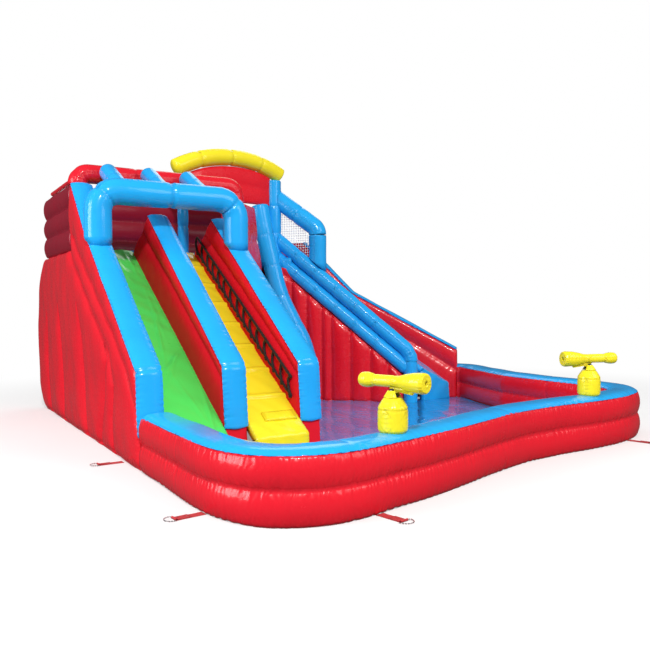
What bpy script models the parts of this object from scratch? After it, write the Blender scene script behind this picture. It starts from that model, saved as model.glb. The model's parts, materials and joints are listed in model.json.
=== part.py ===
"""Inflatable water slide: a splash pool with a two-lane tower and a second slide set at an angle.

Metres, +Z up. The site frame has its corner where the outer left face of the pool meets the first
front bend: X runs right along the front, Y runs back to the tower. Everything hangs on one empty,
which moves the middle of the footprint onto the origin at the end.
"""

import math

import bmesh
import bpy
from mathutils import Vector

# Clearances shared by all pieces
TOUCH_GAP = 0.0003
SEAM_GAP = 0.0005

# Splash pool
RIM_HEIGHT = 0.60
POOL_WALL = 0.42
POOL_CREASE = 0.035
RIM_SHEET = 0.012
FLOOR_SHEET = 0.012
POOL_WIDTH = 6.40
POOL_LENGTH = 5.00

# Lanes of the tower
WALL = 0.29
LANE = 0.66
LANE_FRONT = 1.36
KINK_BACK = 0.09
KINK_HEIGHT = 1.03
ARCH_PLACE = 3.46
ARCH_FOOT = 2.54
STRIP_SHEET = 0.018
STRIP_FOOT = 0.33
BED_START = 0.36
BED_DEPTH = 0.16
DECK_START = 4.70
DECK_HEIGHT = 2.50
DECK_DEPTH = 0.16
LEFT_TOP_PLACE = 4.36
LEFT_TOP_HEIGHT = 3.38
MIDDLE_TOP_PLACE = 4.02
MIDDLE_TOP_HEIGHT = 2.96
STEP_RISE = 0.035
STEP_COUNT = 8

# Tower
TOWER_BACK = 6.44
SHOULDER_HEIGHT = 2.46
SIDE_TOP = 3.38
REAR_BULGE = 0.60
HOLLOW_DEPTH = 0.55
HOLLOW_FOOT = 0.70
REAR_WALL = 0.18
CREASE = 0.04
SUPPORT_WALL = 0.14
PANEL_TOP = 3.30
PANEL_SIDE = 0.16

# Front arch and roof
ARCH_TUBE = 0.35
ARCH_TOP = 3.33
ARCH_BEND = 0.27
ROOF_TUBE = 0.27
ROOF_PLACE = 4.56
ROOF_TOP = 3.68
RIB_TUBE = 0.20
RIB_FIRST = 0.50
RIB_PITCH = 0.55

# Crown over the deck
CROWN_TUBE = 0.28
CROWN_PLACE = 5.10
CROWN_START = 1.75
CROWN_END = 3.80
CROWN_EDGE = 3.86
CROWN_TOP = 4.26
CROWN_POST = 0.18
CROWN_SHEET = 0.06
PEDIMENT_FOOT = 3.42

# Second slide, in its own frame: s runs down the slide, n runs across it from the near face
SIDE_ANGLE = math.radians(-45.0)
SIDE_END_X = 5.40
SIDE_END_Y = 3.58
SIDE_LANE = 0.52
SIDE_FAR_WALL = 0.24
SIDE_TOP_RUN = 2.20
SIDE_POST_RUN = 2.53
SIDE_PANEL_RUN = 2.60
SIDE_SLOPE_RUN = 0.07
SIDE_SLOPE_HEIGHT = 0.69
SIDE_TONGUE_NEAR = 0.10
SIDE_TONGUE_FAR = 0.50
SIDE_TONGUE_HEIGHT = 0.27
RAIL_TUBE = 0.245
RAIL_END_TOP = 0.91
RAIL_START_TOP = 2.87
FRAME_TUBE = 0.24
FRAME_TOP = 3.72
FRAME_END_TOP = 3.20
FRAME_RUN = 1.70
COLUMN_TUBE = 0.26
COLUMN_TOP = 3.37
FAR_END = 0.62
FAR_END_TOP = 0.88
FAR_KNEE_RUN = 1.27
FAR_KNEE_TOP = 1.91
FAR_START_TOP = 2.86
NET_SHEET = 0.012

# Loop ladder beside the climbing lane
LADDER_START = 1.60
LADDER_END = 4.50
LADDER_LOW = 0.10
LADDER_HIGH = 0.25
LADDER_CORD = 0.024
LADDER_LOOPS = 14

# Water cannons
PILLAR_ACROSS = 0.26
PILLAR_HIGH = 0.25
NECK_HIGH = 0.30
NECK_ACROSS = 0.10
SPIGOT_ACROSS = 0.036
SPIGOT_LONG = 0.10
SPIGOT_FLANGE = 0.060
FLANGE_HIGH = 0.014
EAR_GAP = 0.020
EAR_SHEET = 0.014
EAR_WIDE = 0.060
PIN_ACROSS = 0.016
PIN_LIFT = 0.045
BARREL_HEIGHT = 0.43
BARREL_LENGTH = 0.68
BARREL_SLIM = 0.110
BARREL_BULB = 0.140
BARREL_MOUTH = 0.185

# Anchors
ANCHOR_PLACE = 1.95
STRAP_LONG = 0.26
STRAP_WIDE = 0.085
STRAP_THICK = 0.006
EYE_ACROSS = 0.020
RING_WIRE = 0.009
RING_WIDE = 0.134
RING_LONG = 0.075

# Air fittings on the back
SLEEVE_ACROSS = 0.28
SLEEVE_SKIN = 0.010
SLEEVE_LONG = 0.50
SLEEVE_PLACE = 0.95
SLEEVE_HEIGHT = 0.45
SLEEVE_DUCT = 0.12
FLAP_SIDE = 0.34
FLAP_SHEET = 0.010
FLAP_HEIGHT = 0.62
FLAP_PLACE = 2.30

RED = (0.76, 0.02, 0.05)
BLUE = (0.04, 0.42, 0.90)
YELLOW = (0.95, 0.78, 0.05)
GREEN = (0.10, 0.72, 0.16)
BLACK = (0.02, 0.02, 0.02)
WHITE = (0.85, 0.85, 0.87)
STEEL = (0.60, 0.61, 0.63)

# Places that follow from the sizes above
X_MIDDLE = WALL + LANE
X_CLIMB = X_MIDDLE + WALL
X_RIGHT = X_CLIMB + LANE
X_TOWER = X_RIGHT + WALL
BED_SLOPE = (DECK_HEIGHT - BED_START) / (DECK_START - LANE_FRONT)
DOWN = Vector((math.cos(SIDE_ANGLE), math.sin(SIDE_ANGLE), 0))
ACROSS = Vector((-math.sin(SIDE_ANGLE), math.cos(SIDE_ANGLE), 0))
UP = Vector((0, 0, 1))
SIDE_FAR = WALL + SIDE_LANE
SIDE_OUT = SIDE_FAR + SIDE_FAR_WALL
RAIL_SLOPE = (RAIL_START_TOP - RAIL_END_TOP) / (SIDE_TOP_RUN + RAIL_TUBE / 2)
RAIL_TILT = math.atan(RAIL_SLOPE)
RIM_BAND = POOL_WALL / 2 - POOL_CREASE
STRIP_SLOPE = (ARCH_FOOT - KINK_HEIGHT) / (ARCH_PLACE - LANE_FRONT - KINK_BACK)


def clear_scene():
    for old in list(bpy.data.objects):
        bpy.data.objects.remove(old, do_unlink=True)


def finish(name, colour, roughness=0.3, metallic=0.0):
    made = bpy.data.materials.new(name)
    made.use_nodes = True
    shader = made.node_tree.nodes["Principled BSDF"]
    shader.inputs["Base Color"].default_value = (*colour, 1)
    shader.inputs["Roughness"].default_value = roughness
    shader.inputs["Metallic"].default_value = metallic
    made.diffuse_color = (*colour, 1)
    return made


def place(name, mesh, parent, colour, smooth=False, roughness=0.3, metallic=0.0):
    """A named object with its own material, hung on its parent without moving."""
    piece = bpy.data.objects.new(name, mesh)
    bpy.context.scene.collection.objects.link(piece)
    mesh.materials.append(finish(name + "_finish", colour, roughness, metallic))
    piece.parent = parent
    if smooth:
        mesh.shade_smooth()
        mesh.set_sharp_from_angle(angle=math.radians(40))
    return piece


def pivot(name, point, parent, heading=0.0):
    """An empty on a joint's axis, at a point measured from the parent's origin."""
    made = bpy.data.objects.new(name, None)
    bpy.context.scene.collection.objects.link(made)
    made.parent = parent
    made.location = point
    made.rotation_euler = (0, 0, heading)
    return made


def solid_mesh(name, bm):
    bmesh.ops.recalc_face_normals(bm, faces=bm.faces)
    mesh = bpy.data.meshes.new(name)
    bm.to_mesh(mesh)
    bm.free()
    return mesh


def swept_mesh(name, rings, closed=False):
    """A skin through rings that hold the same number of points, capped unless it is closed."""
    bm = bmesh.new()
    made = [[bm.verts.new(point) for point in ring] for ring in rings]
    pairs = list(zip(made, made[1:]))
    if closed:
        pairs.append((made[-1], made[0]))
    else:
        bm.faces.new(made[0])
        bm.faces.new(list(reversed(made[-1])))
    for before, after in pairs:
        for i in range(len(before)):
            j = (i + 1) % len(before)
            bm.faces.new((before[i], after[i], after[j], before[j]))
    return solid_mesh(name, bm)


def prism_mesh(name, outline, push):
    """A solid between an outline of points and the same outline pushed along a vector."""
    return swept_mesh(name, [outline, [Vector(point) + push for point in outline]])


def lane_prism(name, profile, start, wide, parent, colour):
    """A solid of a side profile (Y, Z), from X start across its width."""
    outline = [Vector((start, y, z)) for y, z in profile]
    return place(name, prism_mesh(name, outline, Vector((wide, 0, 0))), parent, colour)


def side_point(s, n, z=0.0):
    """A site point from the second slide's frame."""
    return Vector((SIDE_END_X, SIDE_END_Y, z)) + DOWN * s + ACROSS * n


def side_prism(name, profile, start, wide, parent, colour):
    """A solid of a side profile (s, Z) of the second slide, from n start across its width."""
    outline = [side_point(s, start, z) for s, z in profile]
    return place(name, prism_mesh(name, outline, ACROSS * wide), parent, colour)


def plan_prism(name, points, low, high, parent, colour):
    outline = [Vector((p.x, p.y, low)) for p in points]
    return place(name, prism_mesh(name, outline, UP * (high - low)), parent, colour)


def unit(a, b):
    return (Vector(b) - Vector(a)).normalized()


def tube_mesh(name, points, across, sides=14, start_face=None, end_face=None, up=UP):
    """A tube through points; a face is a (point, normal) plane that cuts that end slantwise."""
    points = [Vector(p) for p in points]
    if unit(points[0], points[1]).cross(up).length < TOUCH_GAP:
        up = Vector((0, 1, 0))
    rings = []
    last = len(points) - 1
    for i, point in enumerate(points):
        before = unit(points[i - 1], point) if i else unit(point, points[1])
        after = unit(point, points[i + 1]) if i < last else before
        along = (before + after).normalized()
        side = along.cross(up).normalized()
        lift = side.cross(along)
        ring = []
        for k in range(sides):
            turn = 2 * math.pi * (k + 1 / 2) / sides
            out = (side * math.cos(turn) + lift * math.sin(turn)) * across / 2
            ring.append(point + out)
        rings.append(ring)
    for face, index, way in ((start_face, 0, unit(points[0], points[1])),
                             (end_face, last, unit(points[-2], points[-1]))):
        if face:
            base, normal = Vector(face[0]), Vector(face[1])
            rings[index] = [p + way * ((base - p).dot(normal) / way.dot(normal))
                            for p in rings[index]]
    return swept_mesh(name, rings)


def tube(name, points, across, parent, colour, sides=14, start_face=None, end_face=None, up=UP):
    mesh = tube_mesh(name, points, across, sides, start_face, end_face, up)
    return place(name, mesh, parent, colour, smooth=True)


def bent(points, radius, count=4):
    """The same polyline with its inner corners rounded to a radius."""
    rounded = [Vector(points[0])]
    for before, corner, after in zip(points, points[1:], points[2:]):
        corner = Vector(corner)
        into = (Vector(before) - corner).normalized()
        out = (Vector(after) - corner).normalized()
        turn = math.pi - into.angle(out)
        back = radius * math.tan(turn / 2)
        centre = corner + (into + out).normalized() * radius / math.cos(turn / 2)
        first = (corner + into * back - centre).normalized()
        final = (corner + out * back - centre).normalized()
        for i in range(count + 1):
            rounded.append(centre + first.slerp(final, i / count) * radius)
    rounded.append(Vector(points[-1]))
    return rounded


def lathe_mesh(name, profile, count=24):
    """A round solid about the local Z axis from a closed outline of (radius, z) points."""
    bm = bmesh.new()
    rows = []
    for radius, z in profile:
        if radius == 0:
            rows.append([bm.verts.new((0, 0, z))])
            continue
        row = []
        for i in range(count):
            turn = 2 * math.pi * i / count
            row.append(bm.verts.new((radius * math.cos(turn), radius * math.sin(turn), z)))
        rows.append(row)
    for low, high in zip(rows, rows[1:] + rows[:1]):
        for i in range(count):
            j = (i + 1) % count
            if len(low) > 1 and len(high) > 1:
                bm.faces.new((low[i], low[j], high[j], high[i]))
            elif len(low) > 1:
                bm.faces.new((low[i], low[j], high[0]))
            elif len(high) > 1:
                bm.faces.new((low[0], high[j], high[i]))
    return solid_mesh(name, bm)


def cutter(name, mesh, parent):
    tool = bpy.data.objects.new(name, mesh)
    bpy.context.scene.collection.objects.link(tool)
    tool.parent = parent
    tool.display_type = "WIRE"
    tool.hide_render = True
    return tool


def combine(piece, tool, way):
    made = piece.modifiers.new(tool.name, "BOOLEAN")
    made.operation = way
    made.solver = "EXACT"
    made.object = tool


def smooth_path(controls, per_span):
    """Points on a Catmull-Rom curve through the controls, with per_span steps in each span."""
    points = []
    for i in range(len(controls) - 1):
        a = controls[max(i - 1, 0)]
        b, c = controls[i], controls[i + 1]
        d = controls[min(i + 2, len(controls) - 1)]
        for step in range(per_span):
            t = step / per_span
            linear = (c - a) * t
            square = (2 * a - 5 * b + 4 * c - d) * t**2
            cube = (3 * b - a - 3 * c + d) * t**3
            points.append((2 * b + linear + square + cube) / 2)
    points.append(controls[-1])
    return points


def lobes(height, half, crease, count, steps=4):
    """One side of a bulged wall: (outward, height) points from the foot to the top."""
    points = []
    for lobe in range(count):
        for step in range(steps + (lobe == count - 1)):
            t = step / steps
            swell = math.sin(math.pi * t) ** (1 / 2)
            points.append((half - crease * (1 - swell), height * (lobe + t) / count))
    return points


def two_sided(side):
    return side + [(-out, z) for out, z in reversed(side)]


def pool_frames():
    """The pool wall's middle line as plan points, each with its outward direction."""
    shares = (
        (0.0328, 0.2700), (0.0328, 0.1000), (0.0328, -0.0200), (0.0420, -0.1000),
        (0.0720, -0.1580), (0.1330, -0.1860), (0.2190, -0.1700), (0.3440, -0.1320),
        (0.4530, -0.0900), (0.5470, -0.0580), (0.6560, -0.0440), (0.7660, -0.0440),
        (0.8590, -0.0260), (0.9300, 0.0160), (0.9640, 0.1000), (0.9640, 0.2600),
        (0.9690, 0.4400),
    )
    controls = [Vector((x * POOL_WIDTH, y * POOL_LENGTH, 0)) for x, y in shares]
    points = smooth_path(controls, 3)
    finish_n = SIDE_FAR + POOL_WALL / 2
    corner = side_point(FAR_END + POOL_WALL * 2 / 5, finish_n)
    end = side_point(FAR_END + SEAM_GAP, finish_n)
    points += bent([points[-1], corner, end], POOL_WALL * 3 / 5, 4)[1:]
    frames = []
    for i, point in enumerate(points):
        last = i == len(points) - 1
        before = unit(points[i - 1], point) if i else unit(point, points[1])
        after = before if last else unit(point, points[i + 1])
        along = (before + after).normalized()
        outward = Vector((along.y, -along.x, 0))
        if i == 0:
            outward = Vector((-1, 0, 0))
        if last:
            outward = ACROSS.copy()
        frames.append((point, outward / max(along.dot(after), 1 / 2)))
    return frames


def build_pool(root):
    frames = pool_frames()
    top = RIM_HEIGHT - RIM_SHEET - TOUCH_GAP
    section = two_sided(lobes(top, POOL_WALL / 2, POOL_CREASE, 2))
    cuts = (0, 15, 27, 39, len(frames) - 1)
    names = ("pool_wall_left", "pool_wall_front", "pool_wall_front_right", "pool_wall_right")
    for name, first, last in zip(names, cuts, cuts[1:]):
        rings = []
        for i in range(first, last + 1):
            point, out = frames[i]
            base = point
            if i == last and last != cuts[-1]:
                base = point + unit(point, frames[i - 1][0]) * SEAM_GAP
            rings.append([base + out * o + UP * z for o, z in section])
        place(name, swept_mesh(name, rings), root, RED, smooth=True)
    low, high = RIM_HEIGHT - RIM_SHEET, RIM_HEIGHT
    corners = ((RIM_BAND, low), (RIM_BAND, high), (-RIM_BAND, high), (-RIM_BAND, low))
    rings = [[point + out * o + UP * z for o, z in corners] for point, out in frames]
    place("pool_rim", swept_mesh("pool_rim", rings), root, BLUE)
    build_floor(root, frames)
    return frames


def build_floor(root, frames):
    """The thin floor sheet, cut round the feet of both slides."""
    inner = [point - out * (POOL_WALL / 2 + SEAM_GAP) for point, out in frames[1:]]
    front = LANE_FRONT - SEAM_GAP
    inner = [p for p in inner if p.y < front or p.x > X_TOWER]
    left = inner[0].x
    side_x = X_TOWER + SEAM_GAP
    tongue_near = SIDE_TONGUE_NEAR + SEAM_GAP * 2
    tongue_far = SIDE_TONGUE_FAR + SEAM_GAP * 2
    panel = -(SIDE_PANEL_RUN - SEAM_GAP)
    start = side_x - side_point(panel, 0).x
    points = [Vector((left, front, 0))] + inner
    points += [side_point(tongue_far, SIDE_FAR - SEAM_GAP),
               side_point(tongue_near, WALL - SEAM_GAP), side_point(SEAM_GAP, WALL - SEAM_GAP),
               side_point(SEAM_GAP, -SEAM_GAP), side_point(panel, -SEAM_GAP),
               side_point(panel, start / ACROSS.x), Vector((side_x, front, 0))]
    plan_prism("pool_floor", points, 0, FLOOR_SHEET, root, BLUE)


def strip_line(top_place, top_height):
    """The face line (Y, Z) of a lane wall's blue strip, from its foot to its top."""
    lean = KINK_BACK / KINK_HEIGHT
    foot = (LANE_FRONT + lean * STRIP_FOOT, STRIP_FOOT)
    kink = (LANE_FRONT + KINK_BACK, KINK_HEIGHT)
    knee_place = ARCH_PLACE + ARCH_TUBE * 11 / 20
    knee = (knee_place, ARCH_FOOT + STRIP_SLOPE * (knee_place - ARCH_PLACE))
    return [foot, kink, knee, (top_place, top_height)]


def inset(line, depth):
    """A line (Y, Z) moved back and down by a depth, with its corners mitred."""
    moved = []
    last = len(line) - 1
    for i, (y, z) in enumerate(line):
        here = Vector((y, z))
        before = (here - Vector(line[i - 1])).normalized() if i else None
        after = (Vector(line[i + 1]) - here).normalized() if i < last else before
        before = before or after
        along = (before + after).normalized()
        back = Vector((along.y, -along.x)) * depth / along.dot(before)
        moved.append((y + back.x, z + back.y))
    return moved


def build_lane_wall(root, name, start, line, back):
    """A full-height lane wall with its strip of another colour laid on the sloping edge."""
    low = inset(line, STRIP_SHEET)
    lane_prism(name + "_strip", line + list(reversed(low)), start, WALL, root, BLUE)
    body = inset(line, STRIP_SHEET + TOUCH_GAP)
    foot_place = LANE_FRONT + STRIP_SHEET
    lane_prism(name, [(foot_place, 0)] + body + back, start, WALL, root, RED)


def build_lanes(root):
    line = strip_line(LEFT_TOP_PLACE, LEFT_TOP_HEIGHT)
    shoulder = SHOULDER_HEIGHT - TOUCH_GAP
    edge = LEFT_TOP_PLACE + WALL / 3
    back = [(edge, LEFT_TOP_HEIGHT - CREASE), (edge, shoulder)]
    shares = ((0.12, 1), (0.45, 0.92), (0.85, 0.72), (1, 0.42), (0.85, 0.16), (0.30, 0))
    back += [(TOWER_BACK + REAR_BULGE * y, shoulder * z) for y, z in shares]
    build_lane_wall(root, "left_side_wall", 0, line, back)
    line = strip_line(MIDDLE_TOP_PLACE, MIDDLE_TOP_HEIGHT)
    end = DECK_START - SEAM_GAP
    back = [(end, DECK_HEIGHT), (end, 0)]
    build_lane_wall(root, "right_wall", X_RIGHT, line, back)
    hollow = DECK_HEIGHT - HOLLOW_DEPTH
    foot = LANE_FRONT + HOLLOW_FOOT
    back = [(end, DECK_HEIGHT), (end, hollow),
            (foot, BED_START + BED_SLOPE * (foot - LANE_FRONT) - HOLLOW_DEPTH), (foot, 0)]
    build_lane_wall(root, "middle_wall", X_MIDDLE, line, back)
    front = LANE_FRONT
    under = BED_START - BED_DEPTH
    low = [(end, DECK_HEIGHT - DECK_DEPTH),
           (end - DECK_DEPTH, DECK_HEIGHT - DECK_DEPTH - BED_SLOPE * DECK_DEPTH),
           (front + BED_DEPTH * 2, under), (front + BED_DEPTH * 2, 0)]
    profile = [(front, 0), (front, BED_START), (end, DECK_HEIGHT)] + low
    wide = LANE - 2 * SEAM_GAP
    lane_prism("slide_bed", profile, WALL + SEAM_GAP, wide, root, GREEN)
    profile = [(front, 0), (front, BED_START)]
    run = (end - front) / STEP_COUNT
    for i in range(1, STEP_COUNT):
        y = front + run * i
        z = BED_START + BED_SLOPE * run * i
        profile += [(y - STEP_RISE, z - STEP_RISE / 2), (y - STEP_RISE / 2, z + STEP_RISE / 2),
                    (y + STEP_RISE, z + STEP_RISE / 2)]
    profile += [(end, DECK_HEIGHT)] + low
    lane_prism("climb_bed", profile, X_CLIMB + SEAM_GAP, wide, root, YELLOW)


def build_tower(root):
    support = DECK_START + SUPPORT_WALL
    under = DECK_HEIGHT - DECK_DEPTH
    x0 = WALL + SEAM_GAP
    points = [Vector((x, y, 0)) for x, y in
              ((x0, DECK_START), (X_TOWER, DECK_START), (X_TOWER, support), (x0, support))]
    plan_prism("deck_support", points, 0, under - TOUCH_GAP, root, RED)
    rear = TOWER_BACK - REAR_WALL
    panel = -(SIDE_PANEL_RUN + PANEL_SIDE + SEAM_GAP)
    turn = side_point(panel, 0)
    near = SEAM_GAP
    end = -(SIDE_TOP_RUN + SEAM_GAP)
    far_x = far_line_x(rear - SEAM_GAP)
    points = [Vector((x0, DECK_START, 0)), Vector((turn.x - turn.y + DECK_START, DECK_START, 0)),
              side_point(panel, near), side_point(end, near),
              side_point(end, SIDE_FAR - SEAM_GAP), Vector((far_x, rear - SEAM_GAP, 0)),
              Vector((x0, rear - SEAM_GAP, 0))]
    plan_prism("deck", points, under, DECK_HEIGHT, root, BLUE)
    far_x = far_line_x(rear)
    points = [Vector((x, y, 0)) for x, y in
              ((x0, rear), (far_x, rear), (far_line_x(TOWER_BACK), TOWER_BACK), (x0, TOWER_BACK))]
    wall = plan_prism("rear_wall", points, 0, SHOULDER_HEIGHT - TOUCH_GAP, root, RED)
    bore = SLEEVE_ACROSS / 2 - SLEEVE_SKIN
    duct = lathe_mesh("air_duct_cut", [(0, 0), (bore, 0), (bore, SLEEVE_DUCT * 2),
                                       (0, SLEEVE_DUCT * 2)])
    tool = cutter("air_duct_cut", duct, root)
    tool.rotation_euler = (math.radians(90), 0, 0)
    tool.location = (SLEEVE_PLACE, TOWER_BACK + SLEEVE_DUCT, SLEEVE_HEIGHT)
    combine(wall, tool, "DIFFERENCE")
    height = SIDE_TOP - SHOULDER_HEIGHT
    section = two_sided(lobes(height, WALL / 2, CREASE, 3))
    start = LEFT_TOP_PLACE + WALL / 3 + SEAM_GAP
    rings = [[Vector((WALL / 2 + o, y, SHOULDER_HEIGHT + z)) for o, z in section]
             for y in (start, TOWER_BACK)]
    mesh = swept_mesh("left_side_wall_upper", rings)
    place("left_side_wall_upper", mesh, root, RED, smooth=True)
    section = two_sided(lobes(height, REAR_WALL / 2, CREASE, 3))
    middle = TOWER_BACK - REAR_WALL / 2
    rings = [[Vector((x, middle - o, SHOULDER_HEIGHT + z)) for o, z in section]
             for x in (x0, far_line_x(TOWER_BACK))]
    place("rear_wall_upper", swept_mesh("rear_wall_upper", rings), root, RED, smooth=True)
    build_panel(root)
    build_side_net(root)


def far_line_x(y):
    """Where the far side of the second slide's lane crosses a line of constant Y."""
    edge = side_point(0, SIDE_FAR - SEAM_GAP)
    return edge.x - (y - edge.y)


def build_panel(root):
    """The slanted wall between the climbing lane and the second slide."""
    front = -SIDE_PANEL_RUN
    back = front - PANEL_SIDE
    near = -(COLUMN_TUBE + 2 * SEAM_GAP)
    x = X_TOWER + SEAM_GAP
    points = [side_point(front, near), side_point(back, near),
              side_point(back, (x - side_point(back, 0).x) / ACROSS.x),
              side_point(front, (x - side_point(front, 0).x) / ACROSS.x)]
    plan_prism("corner_panel", points, 0, PANEL_TOP, root, RED)


def build_side_net(root):
    start = ROOF_PLACE + ROOF_TUBE
    low = SIDE_TOP + TOUCH_GAP
    high = low + ROOF_TUBE / 3
    profile = [(start, low), (start, high), (TOWER_BACK, high), (TOWER_BACK, low)]
    lane_prism("side_net", profile, WALL / 2, NET_SHEET, root, WHITE)
    rail = RIB_TUBE / 3
    z = high + rail / 2 + TOUCH_GAP
    x = (WALL + NET_SHEET) / 2
    tube("side_net_rail", [(x, start, z), (x, TOWER_BACK, z)], rail, root, RED, 10)


def build_roof(root):
    """The blue arch over the lanes, the ribs and the roof tube behind it."""
    x0, x1 = WALL / 2, X_RIGHT + WALL / 2
    top = ARCH_TOP - ARCH_TUBE / 2
    gentle = Vector((0, -STRIP_SLOPE, 1)).normalized()
    lift = Vector((0, 0, TOUCH_GAP * 2))
    place_y = ARCH_PLACE
    seat = Vector((0, ARCH_PLACE, ARCH_FOOT))
    corners = [(x0, place_y, ARCH_FOOT), (x0, place_y, top), (x1, place_y, top),
               (x1, place_y, ARCH_FOOT)]
    face = (seat + lift, gentle)
    tube("front_arch", bent(corners, ARCH_BEND, 6), ARCH_TUBE, root, BLUE, 16, face, face,
         Vector((0, 1, 0)))
    roof_z = ROOF_TOP - ROOF_TUBE / 2
    end_x = X_TOWER + (ROOF_PLACE - LEFT_TOP_PLACE) + WALL / 2
    foot_left = SIDE_TOP + TOUCH_GAP
    foot_right = PANEL_TOP + TOUCH_GAP
    corners = [(x0, ROOF_PLACE, foot_left), (x0, ROOF_PLACE, roof_z), (end_x, ROOF_PLACE, roof_z),
               (end_x, ROOF_PLACE, foot_right)]
    path = bent(corners, ROOF_TUBE * 11 / 20, 4)
    tube("roof_tube", path, ROOF_TUBE, root, RED, 14, None, None, Vector((0, 1, 0)))
    arch_flat = ARCH_TUBE / 2 * (1 - math.cos(math.pi / 16))
    start_z = ARCH_TOP - arch_flat + RIB_TUBE / 2 * math.cos(math.pi / 12) + TOUCH_GAP
    end_y = ROOF_PLACE - ROOF_TUBE / 2 - TOUCH_GAP
    for i in range(3):
        x = RIB_FIRST + RIB_PITCH * i
        path = [(x, place_y, start_z), (x, end_y, roof_z)]
        face = (Vector((x, end_y, roof_z)), Vector((0, 1, 0)))
        tube(f"roof_rib_{i + 1}", path, RIB_TUBE, root, BLUE, 12, None, face)


def build_crown(root):
    """The yellow arch over the deck on its two posts, with the red board below it."""
    post_y = CROWN_PLACE
    count = 12
    half = CROWN_TUBE / 2
    middle = (CROWN_START + CROWN_END) / 2
    reach = (CROWN_END - CROWN_START) / 2
    rise = CROWN_TOP - half - CROWN_EDGE
    path = []
    for i in range(count + 1):
        share = 2 * i / count - 1
        y = post_y + (side_point(-SIDE_POST_RUN, WALL / 3).y - post_y) * i / count
        path.append(Vector((middle + reach * share, y, CROWN_EDGE + rise * (1 - share**2))))
    tube("crown_arch", path, CROWN_TUBE, root, YELLOW, 14, None, None)
    return path


def crown_underside(path, index):
    """The lowest point of the crown's skin at one of its path's points."""
    before = path[max(index - 1, 0)]
    after = path[min(index + 1, len(path) - 1)]
    here = path[index]
    ways = [unit(a, b) for a, b in ((before, here), (here, after)) if a != b]
    along = sum(ways, Vector()).normalized()
    return here - along.cross(UP).normalized().cross(along) * CROWN_TUBE / 2


def build_crown_stand(root, path):
    half = CROWN_TUBE / 2
    deck = DECK_HEIGHT + TOUCH_GAP
    right = side_point(-SIDE_POST_RUN, WALL / 3 + SEAM_GAP)
    last = len(path) - 1
    for name, first, second in (("crown_post_left", 0, 1), ("crown_post_right", last - 1, last)):
        a, b = crown_underside(path, first), crown_underside(path, second)
        along = unit(a, b)
        normal = along.cross(UP).normalized().cross(along)
        spot = Vector((right.x, right.y, 0))
        if first == 0:
            spot = Vector((b.x - CROWN_POST / 2, b.y, 0))
        points = [(spot.x, spot.y, deck), (spot.x, spot.y, a.z)]
        tube(name, points, CROWN_POST, root, BLUE, 12, None, (a - normal * TOUCH_GAP * 2, normal))
    # The board hangs under the crown between the two posts
    low, high = [], []
    for before, point, after in zip(path[1:], path[2:], path[3:]):
        along = (unit(before, point) + unit(point, after)).normalized()
        lift = along.cross(UP).normalized().cross(along)
        top = point - lift * (half + TOUCH_GAP * 2)
        low.append(Vector((top.x, top.y, PEDIMENT_FOOT)))
        high.append(top)
    rings = []
    for a, b in zip(low, high):
        back = Vector((0, CROWN_SHEET, 0))
        rings.append([a - back / 2, b - back / 2, b + back / 2, a + back / 2])
    place("crown_board", swept_mesh("crown_board", rings), root, RED)


def rail_top(s):
    """Height of the upper rail's top line above the ground."""
    return RAIL_END_TOP - RAIL_SLOPE * s


def build_side_slide(root):
    """The second slide: its bed, its two walls and the rails on the near one."""
    step = RAIL_TUBE / math.cos(RAIL_TILT)
    gap = TOUCH_GAP / math.cos(RAIL_TILT) * 2
    centre = WALL / 2
    start = -SIDE_TOP_RUN
    foot = -RAIL_TUBE / 2 - SEAM_GAP

    def upper(s):
        return rail_top(s) - step / 2

    def lower(s):
        return upper(s) - step - gap

    bend = -RAIL_TUBE * 4 / 5
    path = bent([side_point(start, centre, upper(start)), side_point(bend, centre, upper(bend)),
                 side_point(foot, centre, upper(foot) - RAIL_TUBE / 3),
                 side_point(foot, centre, 0)], RAIL_TUBE * 3 / 5, 3)
    cut = (side_point(start, 0, 0), DOWN)
    tube("upper_rail", path, RAIL_TUBE, root, BLUE, 14, cut)
    stop = -RAIL_TUBE - SEAM_GAP * 3
    tip = -RAIL_TUBE * 8 / 5
    path = [side_point(start, centre, lower(start)), side_point(tip, centre, lower(tip))]
    tube("lower_rail", path, RAIL_TUBE, root, BLUE, 14, cut, (side_point(tip, 0, 0), DOWN))
    under = DECK_HEIGHT - DECK_DEPTH - TOUCH_GAP

    def edge(s):
        return lower(s) - step / 2 - gap

    front = -SIDE_PANEL_RUN + SEAM_GAP
    flat = start - SEAM_GAP * 2
    profile = [(stop, 0), (stop, edge(stop)), (start, edge(start)), (flat, edge(start)),
               (flat, min(under, edge(start))), (front, min(under, edge(start))), (front, 0)]
    if under > edge(start):
        profile = [(stop, 0), (stop, edge(stop)), (start, edge(start)), (flat, edge(start)),
                   (flat, under), (front, under), (front, 0)]
    side_prism("side_near_wall", profile, 0, WALL, root, RED)
    build_side_bed(root)
    line = [(FAR_END, FAR_END_TOP), (-FAR_KNEE_RUN, FAR_KNEE_TOP), (start, FAR_START_TOP)]
    low = [(s, z - STRIP_SHEET) for s, z in line]
    side_prism("side_far_strip", line + list(reversed(low)), SIDE_FAR, SIDE_FAR_WALL, root, BLUE)
    body = [(s, z - STRIP_SHEET - TOUCH_GAP) for s, z in line]
    back = SIDE_FAR - (TOWER_BACK - SIDE_END_Y) / ACROSS.y
    profile = [(FAR_END, 0)] + body + [(back, body[-1][1]), (back, 0)]
    side_prism("side_far_wall", profile, SIDE_FAR, SIDE_FAR_WALL, root, RED)


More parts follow.
